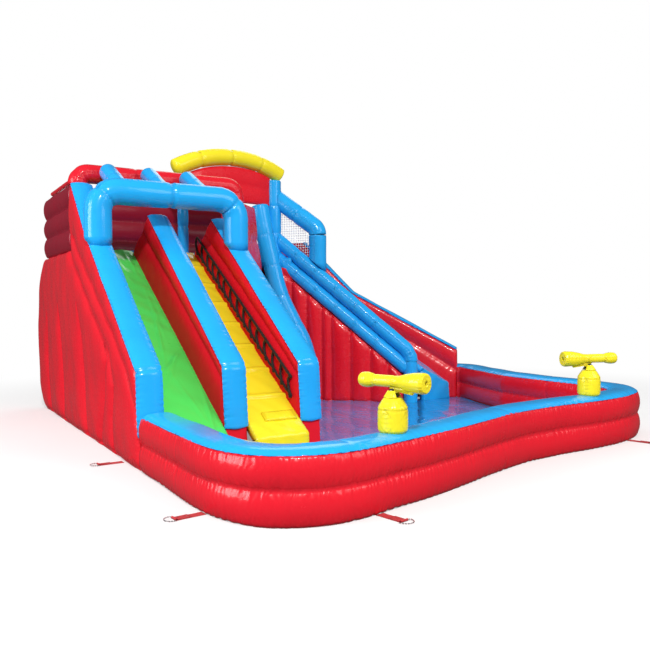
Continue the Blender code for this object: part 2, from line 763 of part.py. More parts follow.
def build_side_bed(root):
    """The second slide's bed, whose mouth runs slantwise from the near wall to the far one."""
    top = -SIDE_TOP_RUN
    knee = -SIDE_SLOPE_RUN
    thick = BED_DEPTH
    rings = []
    for n, end in ((WALL + SEAM_GAP, SIDE_TONGUE_NEAR), (SIDE_FAR - SEAM_GAP, SIDE_TONGUE_FAR)):
        share = (end - knee) / (SIDE_TONGUE_FAR - knee)
        mouth = SIDE_SLOPE_HEIGHT + (SIDE_TONGUE_HEIGHT - SIDE_SLOPE_HEIGHT) * share
        profile = [(top, DECK_HEIGHT), (knee, SIDE_SLOPE_HEIGHT), (end, mouth), (end, 0),
                   (end - thick * 2, 0), (knee - thick * 2, SIDE_SLOPE_HEIGHT - thick),
                   (top + thick, DECK_HEIGHT - DECK_DEPTH - thick),
                   (top, DECK_HEIGHT - DECK_DEPTH)]
        rings.append([side_point(s, n, z) for s, z in profile])
    place("side_slide_bed", swept_mesh("side_slide_bed", rings), root, BLUE)


def build_side_guard(root):
    """The tube frame with its net above the near rails, and the leaning column beside it."""
    centre = WALL / 2
    post = side_point(-SIDE_POST_RUN, WALL / 3 + SEAM_GAP)
    start = -SIDE_POST_RUN + CROWN_POST / 2 + SEAM_GAP
    half = FRAME_TUBE / 2
    run = -FRAME_RUN
    slope = (FRAME_TOP - FRAME_END_TOP) / (run - start)
    rail = rail_top(run) + TOUCH_GAP * 2
    tilt = math.cos(math.atan(slope))
    first = side_point(start, centre, FRAME_TOP - half / tilt)
    corner = side_point(run, centre, FRAME_END_TOP - half / tilt)
    foot = side_point(run, centre, rail)
    seat = (side_point(run, centre, rail), DOWN * RAIL_SLOPE + UP)
    side_face = (side_point(start, centre, 0), DOWN)
    tube("side_frame", bent([first, corner, foot], FRAME_TUBE * 3 / 5, 4), FRAME_TUBE, root,
         BLUE, 14, side_face, seat)
    gap = SEAM_GAP * 2
    near = start + gap
    end = run - half - gap

    def under(s):
        return FRAME_TOP - (s - start) * slope - FRAME_TUBE / tilt - gap * 2

    chamfer = FRAME_TUBE / 4
    profile = [(near, rail_top(near) + gap), (near, under(near)),
               (end - chamfer, under(end - chamfer)), (end, under(end) - chamfer),
               (end, rail_top(end) + gap)]
    net = side_prism("side_net_window", profile, centre, NET_SHEET, root, WHITE)
    shares = ((-0.829, 1.000), (-0.798, 0.882), (-0.751, 0.708), (-0.699, 0.549),
              (-0.642, 0.428), (-0.584, 0.318), (-0.549, 0.202), (-0.538, 0.087),
              (-0.538, 0.000))
    path = [side_point(s * COLUMN_TOP, -COLUMN_TUBE / 2 - SEAM_GAP, z * COLUMN_TOP)
            for s, z in shares]
    path = smooth_path(path, 2)
    level = (Vector((0, 0, FLOOR_SHEET + TOUCH_GAP)), UP)
    tube("leaning_column", path, COLUMN_TUBE, root, BLUE, 14, None, level, ACROSS)
    return post, net


def build_ladder(root):
    """The webbing loops beside the climbing lane: a straight line and a scalloped one, joined."""
    x = X_RIGHT - LADDER_CORD * 11 / 20 - SEAM_GAP
    low, high = [], []

    def bed(y):
        return BED_START + BED_SLOPE * (y - LANE_FRONT) + STEP_RISE

    steps = 6
    for i in range(LADDER_LOOPS * steps + 1):
        t = i / (LADDER_LOOPS * steps)
        y = LADDER_START + (LADDER_END - LADDER_START) * t
        dip = abs(math.sin(math.pi * i / steps)) ** (1 / 2)
        z = bed(y) + LADDER_HIGH - (LADDER_HIGH - LADDER_LOW) * dip
        low.append(Vector((x, y, z)))
    for y in (LADDER_START - LADDER_CORD, LADDER_END + LADDER_CORD):
        high.append(Vector((x, y, bed(y) + LADDER_HIGH)))
    piece = tube("loop_ladder", low, LADDER_CORD, root, BLACK, 6, None, None, Vector((1, 0, 0)))
    thick = LADDER_CORD * 11 / 10
    mesh = tube_mesh("ladder_line_join", high, thick, 6, None, None, Vector((1, 0, 0)))
    combine(piece, cutter("ladder_line_join", mesh, root), "UNION")


def build_cannon(root, number, place_x, place_y, heading):
    """A water cannon: pillar on the rim, swivel in its neck and barrel pinned on the swivel."""
    seat = Vector((place_x, place_y, RIM_HEIGHT + TOUCH_GAP))
    neck_z = PILLAR_HIGH + (NECK_HIGH - PILLAR_HIGH)
    bore = SPIGOT_ACROSS / 2 + TOUCH_GAP
    deep = SPIGOT_LONG + TOUCH_GAP * 2
    room = SPIGOT_FLANGE / 2 + TOUCH_GAP
    ledge = FLANGE_HIGH + TOUCH_GAP * 4
    edge = PILLAR_ACROSS / 2
    slim = edge * 9 / 10
    profile = [(0, 0), (slim, 0), (edge, PILLAR_HIGH / 5), (edge, PILLAR_HIGH * 3 / 5),
               (slim, PILLAR_HIGH * 4 / 5), (NECK_ACROSS / 2, neck_z), (bore, neck_z),
               (bore, neck_z - deep + ledge), (room, neck_z - deep + ledge),
               (room, neck_z - deep), (0, neck_z - deep)]
    pillar = place(f"cannon_{number}_pillar", lathe_mesh("pillar", profile), root, YELLOW, True)
    pillar.location = seat
    yaw = pivot(f"cannon_{number}_turn", seat + Vector((0, 0, neck_z)), root, heading)
    axis_z = BARREL_HEIGHT - neck_z
    build_swivel(number, yaw, axis_z)
    tilt = pivot(f"cannon_{number}_tilt", Vector((0, 0, PIN_LIFT)), yaw)
    build_barrel(number, tilt, axis_z - PIN_LIFT)


def build_swivel(number, yaw, axis_z):
    """A disc with a flanged spigot below and two ears above."""
    r = SPIGOT_ACROSS / 2
    low = -(SPIGOT_LONG - TOUCH_GAP)
    disc = TOUCH_GAP
    top = PIN_LIFT / 3
    profile = [(0, low), (SPIGOT_FLANGE / 2, low), (SPIGOT_FLANGE / 2, low + FLANGE_HIGH),
               (r, low + FLANGE_HIGH), (r, disc), (NECK_ACROSS / 2, disc),
               (NECK_ACROSS / 2, top), (0, top)]
    swivel = place(f"cannon_{number}_swivel", lathe_mesh("swivel", profile), yaw, BLACK, True)
    inner = EAR_GAP / 2
    for side in (-1, 1):
        half = EAR_WIDE / 2
        high = PIN_LIFT + PIN_ACROSS * 3 / 2
        y0, y1 = side * inner, side * (inner + EAR_SHEET)
        points = [Vector((-half, y0, top / 2)), Vector((half, y0, top / 2)),
                  Vector((half / 2, y0, high)), Vector((-half / 2, y0, high))]
        mesh = prism_mesh("ear", points, Vector((0, y1 - y0, 0)))
        combine(swivel, cutter(f"cannon_{number}_ear_{side + 2}", mesh, yaw), "UNION")
    hole = PIN_ACROSS / 2 + TOUCH_GAP
    long = inner + EAR_SHEET * 2
    mesh = lathe_mesh("pin_hole", [(0, -long), (hole, -long), (hole, long), (0, long)], 16)
    tool = cutter(f"cannon_{number}_pin_hole", mesh, yaw)
    tool.rotation_euler = (math.radians(90), 0, 0)
    tool.location = (0, 0, PIN_LIFT)
    combine(swivel, tool, "DIFFERENCE")


def build_barrel(number, tilt, lift):
    """The barrel lies along local X above its pin; the muzzle points along +X."""
    half = BARREL_LENGTH / 2
    slim, bulb, mouth = BARREL_SLIM / 2, BARREL_BULB / 2, BARREL_MOUTH / 2
    wall = BARREL_SLIM / 8
    bore = slim * 2 / 3
    profile = [(0, -half), (bulb * 3 / 4, -half), (bulb, -half * 9 / 10),
               (bulb, -half * 7 / 10), (slim, -half * 5 / 10), (slim, half * 2 / 10),
               (mouth * 4 / 5, half * 7 / 10), (mouth, half), (mouth - wall, half),
               (bore, half * 7 / 10), (bore, half * 2 / 10), (0, half * 2 / 10)]
    barrel = place(f"cannon_{number}_barrel", lathe_mesh("barrel", profile), tilt, YELLOW, True)
    for vert in barrel.data.vertices:
        x, y, z = vert.co
        vert.co = (z, y, lift - x)
    barrel.data.update()
    fin_long = BARREL_LENGTH / 8
    thick = EAR_GAP - TOUCH_GAP * 4
    low = -PIN_ACROSS * 3 / 2
    points = [Vector((-PIN_ACROSS, -thick / 2, low)), Vector((PIN_ACROSS, -thick / 2, low)),
              Vector((fin_long, -thick / 2, lift)), Vector((-fin_long, -thick / 2, lift))]
    mesh = prism_mesh("fin", points, Vector((0, thick, 0)))
    combine(barrel, cutter(f"cannon_{number}_fin", mesh, tilt), "UNION")
    reach = EAR_GAP / 2 + EAR_SHEET
    head = reach + TOUCH_GAP * 2
    tip = head + PIN_ACROSS / 3
    r, big = PIN_ACROSS / 2, PIN_ACROSS * 3 / 4
    profile = [(0, -tip), (big, -tip), (big, -head), (r, -head), (r, head), (big, head),
               (big, tip), (0, tip)]
    tool = cutter(f"cannon_{number}_pin", lathe_mesh("pin", profile, 16), tilt)
    tool.rotation_euler = (math.radians(90), 0, 0)
    combine(barrel, tool, "UNION")


def build_anchor(root, number, x, y, heading):
    """A webbing strap with an eye, hinged at the wall's foot, and a steel ring in the eye."""
    hinge = pivot(f"anchor_{number}_hinge", Vector((x, y, STRAP_THICK)), root, heading)
    r = EYE_ACROSS / 2
    low = -STRAP_THICK
    profile = [Vector((0, 0, low)), Vector((STRAP_LONG - r, 0, low))]
    for i in range(13):
        turn = -math.pi / 2 + math.pi * i / 12
        profile.append(Vector((STRAP_LONG + r * math.cos(turn), 0,
                               low + r + r * math.sin(turn))))
    profile += [Vector((STRAP_LONG - r * 2, 0, 0)), Vector((0, 0, 0))]
    profile = [p + Vector((0, -STRAP_WIDE / 2, 0)) for p in profile]
    mesh = prism_mesh("strap", profile, Vector((0, STRAP_WIDE, 0)))
    strap = place(f"anchor_{number}_strap", mesh, hinge, RED)
    hole = RING_WIRE / 2 + TOUCH_GAP * 2
    wide = STRAP_WIDE
    mesh = lathe_mesh("eye", [(0, -wide), (hole, -wide), (hole, wide), (0, wide)], 12)
    tool = cutter(f"anchor_{number}_eye", mesh, hinge)
    tool.rotation_euler = (math.radians(90), 0, 0)
    tool.location = (STRAP_LONG, 0, low + r)
    combine(strap, tool, "DIFFERENCE")
    turn_at = pivot(f"anchor_{number}_ring_turn", Vector((STRAP_LONG, 0, low + r)), hinge)
    half = RING_WIDE / 2
    corner = RING_WIRE * 2
    path = [Vector((0, y, 0)) for y in (-half + corner, half - corner)]
    arc = 10
    for i in range(arc + 1):
        turn = math.pi / 2 - math.pi * i / arc
        path.append(Vector((corner / 2 + RING_LONG * math.cos(turn), half * math.sin(turn), 0)))
    count = len(path)
    rings = []
    for i, point in enumerate(path):
        along = unit(path[i - 1], path[(i + 1) % count])
        side = along.cross(UP).normalized()
        rings.append([point + (side * math.cos(a) + UP * math.sin(a)) * RING_WIRE / 2
                      for a in (math.pi * (2 * k + 1) / 8 for k in range(8))])
    mesh = swept_mesh("ring", rings, closed=True)
    place(f"anchor_{number}_ring", mesh, turn_at, STEEL, True, 0.25, 1.0)


def build_anchors(root, frames):
    """Straps at the outer foot: one on the tower's left wall, three along the pool wall."""
    (foot, _), (first, lift) = lobes(RIM_HEIGHT, POOL_WALL / 2, POOL_CREASE, 2)[:2]
    reach = foot + (first - foot) * STRAP_THICK / lift + TOUCH_GAP * 2
    build_anchor(root, 1, -TOUCH_GAP * 2, ANCHOR_PLACE, math.pi)
    for number, index in enumerate((7, 17, 36), 2):
        point, out = frames[index]
        way = out.normalized()
        spot = point + way * (reach * out.length)
        build_anchor(root, number, spot.x, spot.y, math.atan2(way.y, way.x))


def build_fittings(root):
    """The inflation sleeve and the deflation flap on the rear wall."""
    r = SLEEVE_ACROSS / 2
    inner = r - SLEEVE_SKIN
    profile = [(inner, 0), (r, 0), (r, SLEEVE_LONG), (inner, SLEEVE_LONG)]
    sleeve = place("air_sleeve", lathe_mesh("air_sleeve", profile), root, RED, True)
    sleeve.rotation_euler = (math.radians(-90), 0, 0)
    sleeve.location = (SLEEVE_PLACE, TOWER_BACK + TOUCH_GAP, SLEEVE_HEIGHT)
    top = FLAP_HEIGHT + FLAP_SIDE / 2
    hinge_y = TOWER_BACK + FLAP_SHEET / 2 + TOUCH_GAP
    hinge = pivot("deflation_flap_hinge", Vector((FLAP_PLACE, hinge_y, top)), root)
    half = FLAP_SIDE / 2
    low = -FLAP_SIDE
    points = [Vector((-half, -FLAP_SHEET / 2, 0)), Vector((half, -FLAP_SHEET / 2, 0)),
              Vector((half, -FLAP_SHEET / 2, low * 4 / 5)), Vector((0, -FLAP_SHEET / 2, low)),
              Vector((-half, -FLAP_SHEET / 2, low * 4 / 5))]
    place("deflation_flap", prism_mesh("flap", points, Vector((0, FLAP_SHEET, 0))), hinge, RED)


def main():
    clear_scene()
    root = bpy.data.objects.new("water_slide", None)
    bpy.context.scene.collection.objects.link(root)
    frames = build_pool(root)
    build_lanes(root)
    build_tower(root)
    build_roof(root)
    path = build_crown(root)
    build_crown_stand(root, path)
    build_side_slide(root)
    build_side_guard(root)
    build_ladder(root)
    one = frames[18][0].lerp(frames[19][0], 3 / 5)
    two = frames[33][0]
    build_cannon(root, 1, one.x, one.y, math.atan2(-0.949, 0.316))
    build_cannon(root, 2, two.x, two.y, math.atan2(0.37, -0.93))
    build_anchors(root, frames)
    build_fittings(root)
    low = Vector((0, 0, 0))
    high = Vector((0, 0, 0))
    bpy.context.view_layer.update()
    for piece in bpy.data.objects:
        if piece.type != "MESH" or piece.hide_render:
            continue
        for corner in piece.bound_box:
            spot = piece.matrix_world @ Vector(corner)
            low = Vector([min(a, b) for a, b in zip(low, spot)])
            high = Vector([max(a, b) for a, b in zip(high, spot)])
    root.location = (-(low.x + high.x) / 2, -(low.y + high.y) / 2, 0)


main()
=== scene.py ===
"""The dressed inflatable water slide: glossy vinyl chambers, nets, webbing and water cannons.

Metres, +Z up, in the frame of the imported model. The shapes are worked out in the site frame, whose
corner is the outer left face at the front of the pool, and moved into the model's frame at the end.
"""

import json
import logging
import math
from collections.abc import Callable, Mapping
from dataclasses import dataclass, field
from enum import Enum

import bmesh
import bpy
import numpy as np
from mathutils import Matrix, Vector


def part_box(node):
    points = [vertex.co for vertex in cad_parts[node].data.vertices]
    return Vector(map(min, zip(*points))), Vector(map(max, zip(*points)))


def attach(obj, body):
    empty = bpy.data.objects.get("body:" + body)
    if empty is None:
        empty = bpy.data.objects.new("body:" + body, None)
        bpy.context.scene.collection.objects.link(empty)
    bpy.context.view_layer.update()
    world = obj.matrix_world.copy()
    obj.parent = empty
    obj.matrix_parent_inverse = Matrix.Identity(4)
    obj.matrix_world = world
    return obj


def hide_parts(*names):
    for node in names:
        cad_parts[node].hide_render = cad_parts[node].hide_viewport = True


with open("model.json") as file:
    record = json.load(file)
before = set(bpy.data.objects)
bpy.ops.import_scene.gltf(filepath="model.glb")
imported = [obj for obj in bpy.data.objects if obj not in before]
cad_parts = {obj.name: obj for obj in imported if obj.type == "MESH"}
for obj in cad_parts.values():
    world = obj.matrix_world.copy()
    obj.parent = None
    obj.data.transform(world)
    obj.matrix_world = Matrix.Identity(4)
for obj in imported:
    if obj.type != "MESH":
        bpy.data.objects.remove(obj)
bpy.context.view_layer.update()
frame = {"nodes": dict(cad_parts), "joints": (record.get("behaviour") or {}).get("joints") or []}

Array = np.ndarray
Object = bpy.types.Object
Material = bpy.types.Material
Tree = bpy.types.NodeTree
Node = bpy.types.Node
Socket = bpy.types.NodeSocket
Sockets = Mapping[str, Socket]
Point = tuple[float, float]
Place = tuple[float, float, float]
Colour = tuple[float, float, float]

log = logging.getLogger("water_slide")

X = np.array([1.0, 0.0, 0.0])
Y = np.array([0.0, 1.0, 0.0])
UP = np.array([0.0, 0.0, 1.0])

# The second slide runs DOWN from the tower and lies at SIDE_TURN to it, with SIDE_END at its foot.
SIDE_TURN = math.radians(-45.0)
DOWN = np.array([math.cos(SIDE_TURN), math.sin(SIDE_TURN), 0.0])
ACROSS = np.array([-math.sin(SIDE_TURN), math.cos(SIDE_TURN), 0.0])
SIDE_END = np.array([5.40, 3.58, 0.0])

# Places in metres: the lane walls' thickness and left faces, the tower's back and its deck.
LANE_FRONT = 1.36
WALL = 0.29
MIDDLE_START, CLIMB_START, RIGHT_START, TOWER_END = 0.95, 1.24, 1.90, 2.19
BACK = 6.44
DECK = 2.50
FAR_ACROSS = 0.81
BODY = "slide_body"

# NOT_NEAR is the distance of a point that has no weld near it, STEP the spacing of points on a path,
# CLEAR the gap between pieces that touch, and ROUND the power of a rounded end.
NOT_NEAR = 1e3
STEP = 0.02
CLEAR = 0.0005
ROUND = 2.6


def site_shift() -> Array:
    """The move from the site frame to the model's frame, read from two placed nodes."""
    wall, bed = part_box("left_side_wall")[0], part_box("slide_bed")[0]
    return np.array([wall.x, bed.y - LANE_FRONT, 0.0])


SHIFT = site_shift()


class Seam(Enum):
    """How deep the puckers at a welded line are."""

    FINE = 0.004
    PLAIN = 0.008
    DEEP = 0.012


# ---------------------------------------------------------------- numbers on surfaces


def waves(at: Array, pitch: float, seed: int, count: int = 5) -> Array:
    """A smooth wandering value from about -1 to 1 along a line.

    Args:
        at: Places along the line, in metres.
        pitch: Middle wavelength in metres.
        seed: Chooses the wander, the same each run.
        count: Number of sine waves that are added.

    Returns:
        One value for each place.
    """
    draw = np.random.default_rng(seed)
    total = np.zeros_like(at, dtype=float)
    for _ in range(count):
        scale = draw.uniform(0.6, 1.7)
        total += np.sin(2 * np.pi * at / (pitch * scale) + draw.uniform(0, 2 * np.pi))
    return total / math.sqrt(2 * count)


def wander(points: Array, pitch: float, seed: int, count: int = 7) -> Array:
    """A smooth wandering value from about -1 to 1 in space.

    Args:
        points: An array whose last axis is X, Y, Z.
        pitch: Middle wavelength in metres.
        seed: Chooses the wander.
        count: Number of waves.

    Returns:
        One value for each point.
    """
    draw = np.random.default_rng(seed)
    total = np.zeros(points.shape[:-1])
    for _ in range(count):
        way = draw.normal(size=3)
        way /= np.linalg.norm(way)
        scale = pitch * draw.uniform(0.6, 1.7)
        total += np.sin(2 * np.pi * (points @ way) / scale + draw.uniform(0, 2 * np.pi))
    return total / math.sqrt(2 * count)


def puckers(run: Array, away: Array, pitch: float, depth: float, reach: float, seed: int) -> Array:
    """How far the vinyl is drawn in by the gathers across a welded line.

    Args:
        run: Place along the line.
        away: Distance from the line.
        pitch: Distance between two folds.
        depth: Depth of a fold at the line.
        reach: Length of a fold away from the line.
        seed: Chooses the irregularity.

    Returns:
        Inward distances.
    """
    phase = np.pi * run / pitch + 1.5 * waves(run, pitch * 7, seed)
    fold = 1 - np.abs(np.sin(phase)) ** 0.55
    long = reach * np.clip(0.75 + 0.55 * waves(run, pitch * 2.7, seed + 1), 0.25, 1.5)
    strong = np.clip(0.75 + 0.5 * waves(run, pitch * 9, seed + 2), 0.2, 1.3)
    return depth * strong * fold * np.exp(-((np.abs(away) / long) ** 1.2))


def to_line(at: Array, line: list[Point]) -> tuple[Array, Array]:
    """Distance from each point to a polyline in a plane, and the place along it.

    Args:
        at: Points of two numbers each.
        line: The polyline's corners.

    Returns:
        Distance and run for each point.
    """
    best = np.full(at.shape[:-1], 1e9)
    run = np.zeros(at.shape[:-1])
    start = 0.0
    for a, b in zip(line, line[1:]):
        a, b = np.array(a, float), np.array(b, float)
        long = np.linalg.norm(b - a)
        way = (b - a) / long
        t = np.clip((at - a) @ way, 0, long)
        gap = np.linalg.norm(at - (a + t[..., None] * way), axis=-1)
        closer = gap < best
        best = np.where(closer, gap, best)
        run = np.where(closer, start + t, run)
        start += long
    return best, run


def evenly(points: Array, step: float) -> tuple[Array, Array]:
    """Evenly spaced points on a polyline.

    Args:
        points: Corners of the polyline.
        step: Wanted spacing.

    Returns:
        The points and the run of each.
    """
    points = np.asarray(points, float)
    long = np.linalg.norm(np.diff(points, axis=0), axis=1)
    run = np.concatenate([[0], np.cumsum(long)])
    count = max(2, int(round(run[-1] / step)) + 1)
    at = np.linspace(0, run[-1], count)
    return np.stack([np.interp(at, run, points[:, i]) for i in range(3)], 1), at


def length_of(path: Array, step: float = STEP) -> float:
    """Length of a path."""
    return evenly(path, step)[1][-1]


def drawn_in(past: Array, share: float, least: float) -> Array:
    """How much narrower a round end is at distances from its tip, over a length of its own."""
    t = np.clip(1 - past / share, 0, 1)
    return np.sqrt(np.maximum(1 - t**ROUND, least))


def rounded(points: list[Array], radius: float, count: int = 12) -> Array:
    """A polyline with its inner corners rounded to a radius.

    Args:
        points: The corners.
        radius: Bend radius.
        count: Steps in each bend.

    Returns:
        The new corners.
    """
    made = [np.asarray(points[0], float)]
    for before, corner, after in zip(points, points[1:], points[2:]):
        corner = Vector(corner)
        into = (Vector(before) - corner).normalized()
        out = (Vector(after) - corner).normalized()
        turn = math.pi - into.angle(out)
        back = radius * math.tan(turn / 2)
        centre = corner + (into + out).normalized() * radius / math.cos(turn / 2)
        first = (corner + into * back - centre).normalized()
        final = (corner + out * back - centre).normalized()
        for i in range(count + 1):
            made.append(np.array(centre + first.slerp(final, i / count) * radius))
    made.append(np.asarray(points[-1], float))
    return np.array(made)


def curve_through(controls: list[Array], steps: int) -> Array:
    """Points on a smooth curve through the controls.

    Args:
        controls: Site points on the curve.
        steps: Steps in each span.

    Returns:
        The points.
    """
    points = []
    for i in range(len(controls) - 1):
        a, b = controls[max(i - 1, 0)], controls[i]
        c, d = controls[i + 1], controls[min(i + 2, len(controls) - 1)]
        for step in range(steps):
            t = step / steps
            square = (2 * a - 5 * b + 4 * c - d) * t**2
            cube = (3 * b - a - 3 * c + d) * t**3
            points.append((2 * b + (c - a) * t + square + cube) / 2)
    points.append(controls[-1])
    return np.array(points)


def side_point(s: float, n: float, z: float = 0.0) -> Array:
    """A site point from the second slide's frame: s down the slide, n across it."""
    return SIDE_END + DOWN * s + ACROSS * n + UP * z


def unit(vectors: Array) -> Array:
    """The same vectors at length one."""
    return vectors / np.maximum(np.linalg.norm(vectors, axis=-1, keepdims=True), 1e-12)


def normals_of(grid: Array) -> Array:
    """Outward normals of a tube-like grid of rings, whose second axis runs round.

    Args:
        grid: Rings of site points.

    Returns:
        A unit vector for each point.
    """
    along = np.gradient(grid, axis=0)
    around = np.roll(grid, -1, axis=1) - np.roll(grid, 1, axis=1)
    return unit(np.cross(around, along))


# ---------------------------------------------------------------- meshes


def linked(name: str, data: bpy.types.ID) -> Object:
    """A new object in the scene.

    Args:
        name: Its name.
        data: Its mesh, lamp or camera.

    Returns:
        The object.
    """
    made = bpy.data.objects.new(name, data)
    bpy.context.scene.collection.objects.link(made)
    return made


def new_object(name: str, verts: Array, faces: list, data: dict[str, Array] | None = None) -> Object:
    """A smooth-shaded object in the model's frame from site points.

    Args:
        name: Piece name.
        verts: Site points.
        faces: Lists of point indices.
        data: Named values for each point, for the material.

    Returns:
        The linked object.
    """
    mesh = bpy.data.meshes.new(name)
    mesh.from_pydata([tuple(v) for v in np.asarray(verts) + SHIFT], [], faces)
    for key, values in (data or {}).items():
        layer = mesh.attributes.new(key, "FLOAT", "POINT")
        layer.data.foreach_set("value", np.asarray(values, np.float32).ravel())
    made = linked(name, mesh)
    bm = bmesh.new()
    bm.from_mesh(mesh)
    bmesh.ops.recalc_face_normals(bm, faces=bm.faces)
    bm.to_mesh(mesh)
    bm.free()
    mesh.shade_smooth()
    return made


def ring_faces(rows: int, cols: int, first: int = 0) -> list[tuple[int, ...]]:
    """Quads between rings of points, whose caps are left open.

    Args:
        rows: Number of rings.
        cols: Points in each ring.
        first: Index of the first point.

    Returns:
        The quads.
    """
    i = np.arange(rows - 1)[:, None] * cols
    k = np.arange(cols)[None, :]
    j = (k + 1) % cols
    quads = np.stack([i + k, i + j, i + cols + j, i + cols + k], -1).reshape(-1, 4) + first
    return [tuple(int(x) for x in q) for q in quads]


def loop_faces(rows: int, cols: int) -> list[tuple[int, ...]]:
    """Quads of a grid of points that closes on itself both ways.

    Args:
        rows: Number of rings.
        cols: Points in each ring.

    Returns:
        The quads.
    """
    base = (rows - 1) * cols
    closing = [(base + k, base + (k + 1) % cols, (k + 1) % cols, k) for k in range(cols)]
    return ring_faces(rows, cols) + closing


def ring_object(name: str, grid: Array, away: Array, run: Array) -> Object:
    """A closed skin through rings of points, with a fan on each end.

    Args:
        name: Piece name.
        grid: Rings of site points.
        away: Distance to the nearest weld, for each point.
        run: Place along that weld.

    Returns:
        The object.
    """
    rows, cols = grid.shape[:2]
    verts = grid.reshape(-1, 3)
    ends = [grid[0].mean(0), grid[-1].mean(0)]
    faces = ring_faces(rows, cols)
    for k in range(cols):
        j = (k + 1) % cols
        faces.append((rows * cols, j, k))
        faces.append((rows * cols + 1, (rows - 1) * cols + k, (rows - 1) * cols + j))
    data = {"weld_away": np.append(away.ravel(), [0, 0]), "weld_run": np.append(run.ravel(), [0, 0])}
    return new_object(name, np.vstack([verts, ends]), faces, data)


def plain_rings(name: str, grid: Array, away: float = 0.02, axis: int = 2) -> Object:
    """A closed skin through rings of points that are all as far from a weld."""
    return ring_object(name, grid, np.full(grid.shape[:2], away), grid[..., axis])


def path_frames(path: Array, up: Array) -> tuple[Array, Array, Array]:
    """The direction, side and lift at each point of a path.

    Args:
        path: Points of the path.
        up: Direction that the lift is nearest to.

    Returns:
        Three unit vectors for each point.
    """
    along = unit(np.gradient(path, axis=0))
    side = unit(np.cross(along, up))
    return along, side, np.cross(side, along)


def upper_side(path: Array) -> Array:
    """The upward direction square to each point of a path that runs in a plane of one X."""
    along = unit(np.gradient(path, axis=0))
    return np.stack([np.zeros(len(path)), -along[:, 2], along[:, 1]], 1)


def flatten_end(grid: Array, row: int, way: Array, face: tuple[Array, Array]) -> None:
    """Slides the rings that pass a plane back onto it, and the end ring onto it exactly.

    Args:
        grid: Rings of site points, which are changed.
        row: 0 for the start, -1 for the end.
        way: The path's direction there.
        face: A point of the plane, and its normal.
    """
    base, normal = (np.asarray(x, float) for x in face)
    for i in range(len(grid)):
        past = ((base - grid[i]) @ normal) / (way @ normal)
        if i == row % len(grid):
            grid[i] = grid[i] + way * past[:, None]
        elif (row == 0 and i < len(grid) // 3) or (row == -1 and i > 2 * len(grid) // 3):
            push = np.maximum(past, 0) if row == 0 else np.minimum(past, 0)
            grid[i] = grid[i] + way * push[:, None]


@dataclass
class Tube:
    """An inflated tube along a path.

    Welds go round it at ring_welds, and run along it at line_welds, which are angles from its side
    towards its lift. A neck is how much narrower it is at a ring weld.
    """

    path: Array
    across: float
    up: Array = field(default_factory=lambda: UP.copy())
    ring_welds: tuple[float, ...] = ()
    line_welds: tuple[float, ...] = (math.pi / 2,)
    start_face: tuple | None = None
    end_face: tuple | None = None
    step: float = STEP
    sides: int = 56
    pitch: float = 0.075
    seam: Seam = Seam.PLAIN
    neck: float = 0.014
    dome: tuple[float, float] = (0.0, 0.0)
    seed: int = 1
    reach: float = 0.06

    def build(self, name: str) -> Object:
        """Builds the tube's closed mesh.

        Args:
            name: Piece name.

        Returns:
            The object, without its material.
        """
        path, run = evenly(self.path, self.step)
        along, side, lift = path_frames(path, self.up)
        total = run[-1]
        angle = 2 * np.pi * (np.arange(self.sides) + 0.5) / self.sides
        runs, angles = np.meshgrid(run, angle, indexing="ij")
        radius = np.full(runs.shape, self.across / 2)
        radius *= 1 - 0.012 + 0.012 * waves(runs, 0.8, self.seed)
        away = np.full(runs.shape, NOT_NEAR)
        place = np.zeros(runs.shape)
        for i, weld in enumerate(self.ring_welds):
            gap = np.abs(runs - weld)
            radius -= self.neck * np.exp(-((gap / 0.02) ** 1.2))
            around = angles * self.across / 2
            radius -= puckers(around, gap, self.pitch, self.seam.value, self.reach, self.seed + 5 * i)
            place = np.where(gap < away, around, place)
            away = np.minimum(away, gap)
        for i, weld in enumerate(self.line_welds):
            turn = (angles - weld + np.pi) % (2 * np.pi) - np.pi
            gap = np.abs(turn) * self.across / 2
            radius -= 0.005 * np.exp(-((gap / 0.010) ** 1.2))
            radius -= puckers(runs, gap, self.pitch, self.seam.value, self.reach, self.seed + 31 + i)
            place = np.where(gap < away, runs, place)
            away = np.minimum(away, gap)
        for share, place_run in zip(self.dome, (runs, total - runs)):
            if share:
                radius *= drawn_in(place_run, share, 0.02)
        grid = path[:, None] + radius[..., None] * (
            side[:, None] * np.cos(angles)[..., None] + lift[:, None] * np.sin(angles)[..., None])
        if self.start_face:
            flatten_end(grid, 0, along[0], self.start_face)
        if self.end_face:
            flatten_end(grid, -1, along[-1], self.end_face)
        return ring_object(name, grid, away, place)


@dataclass
class Weld:
    """A welded line on a panel, as a polyline in the panel's own two coordinates."""

    line: list[Point]
    depth: float = 0.030
    reach: float = 0.09
    seam: Seam = Seam.PLAIN
    pitch: float = 0.10
    fade: float = 0.0


@dataclass
class Face:
    """One dressed side of a panel: the plane it lies in and the welds on it.

    normal is the outward direction, flat gives the two coordinates of a site point, belly is how far
    the cloth stands out between welds, and reach how far from a weld it takes to get there.
    """

    normal: Array
    flat: Callable[[Array], Array]
    welds: list[Weld]
    belly: float = 0.02
    reach: float = 0.14
    limit: float = 0.12
    at: float | None = None


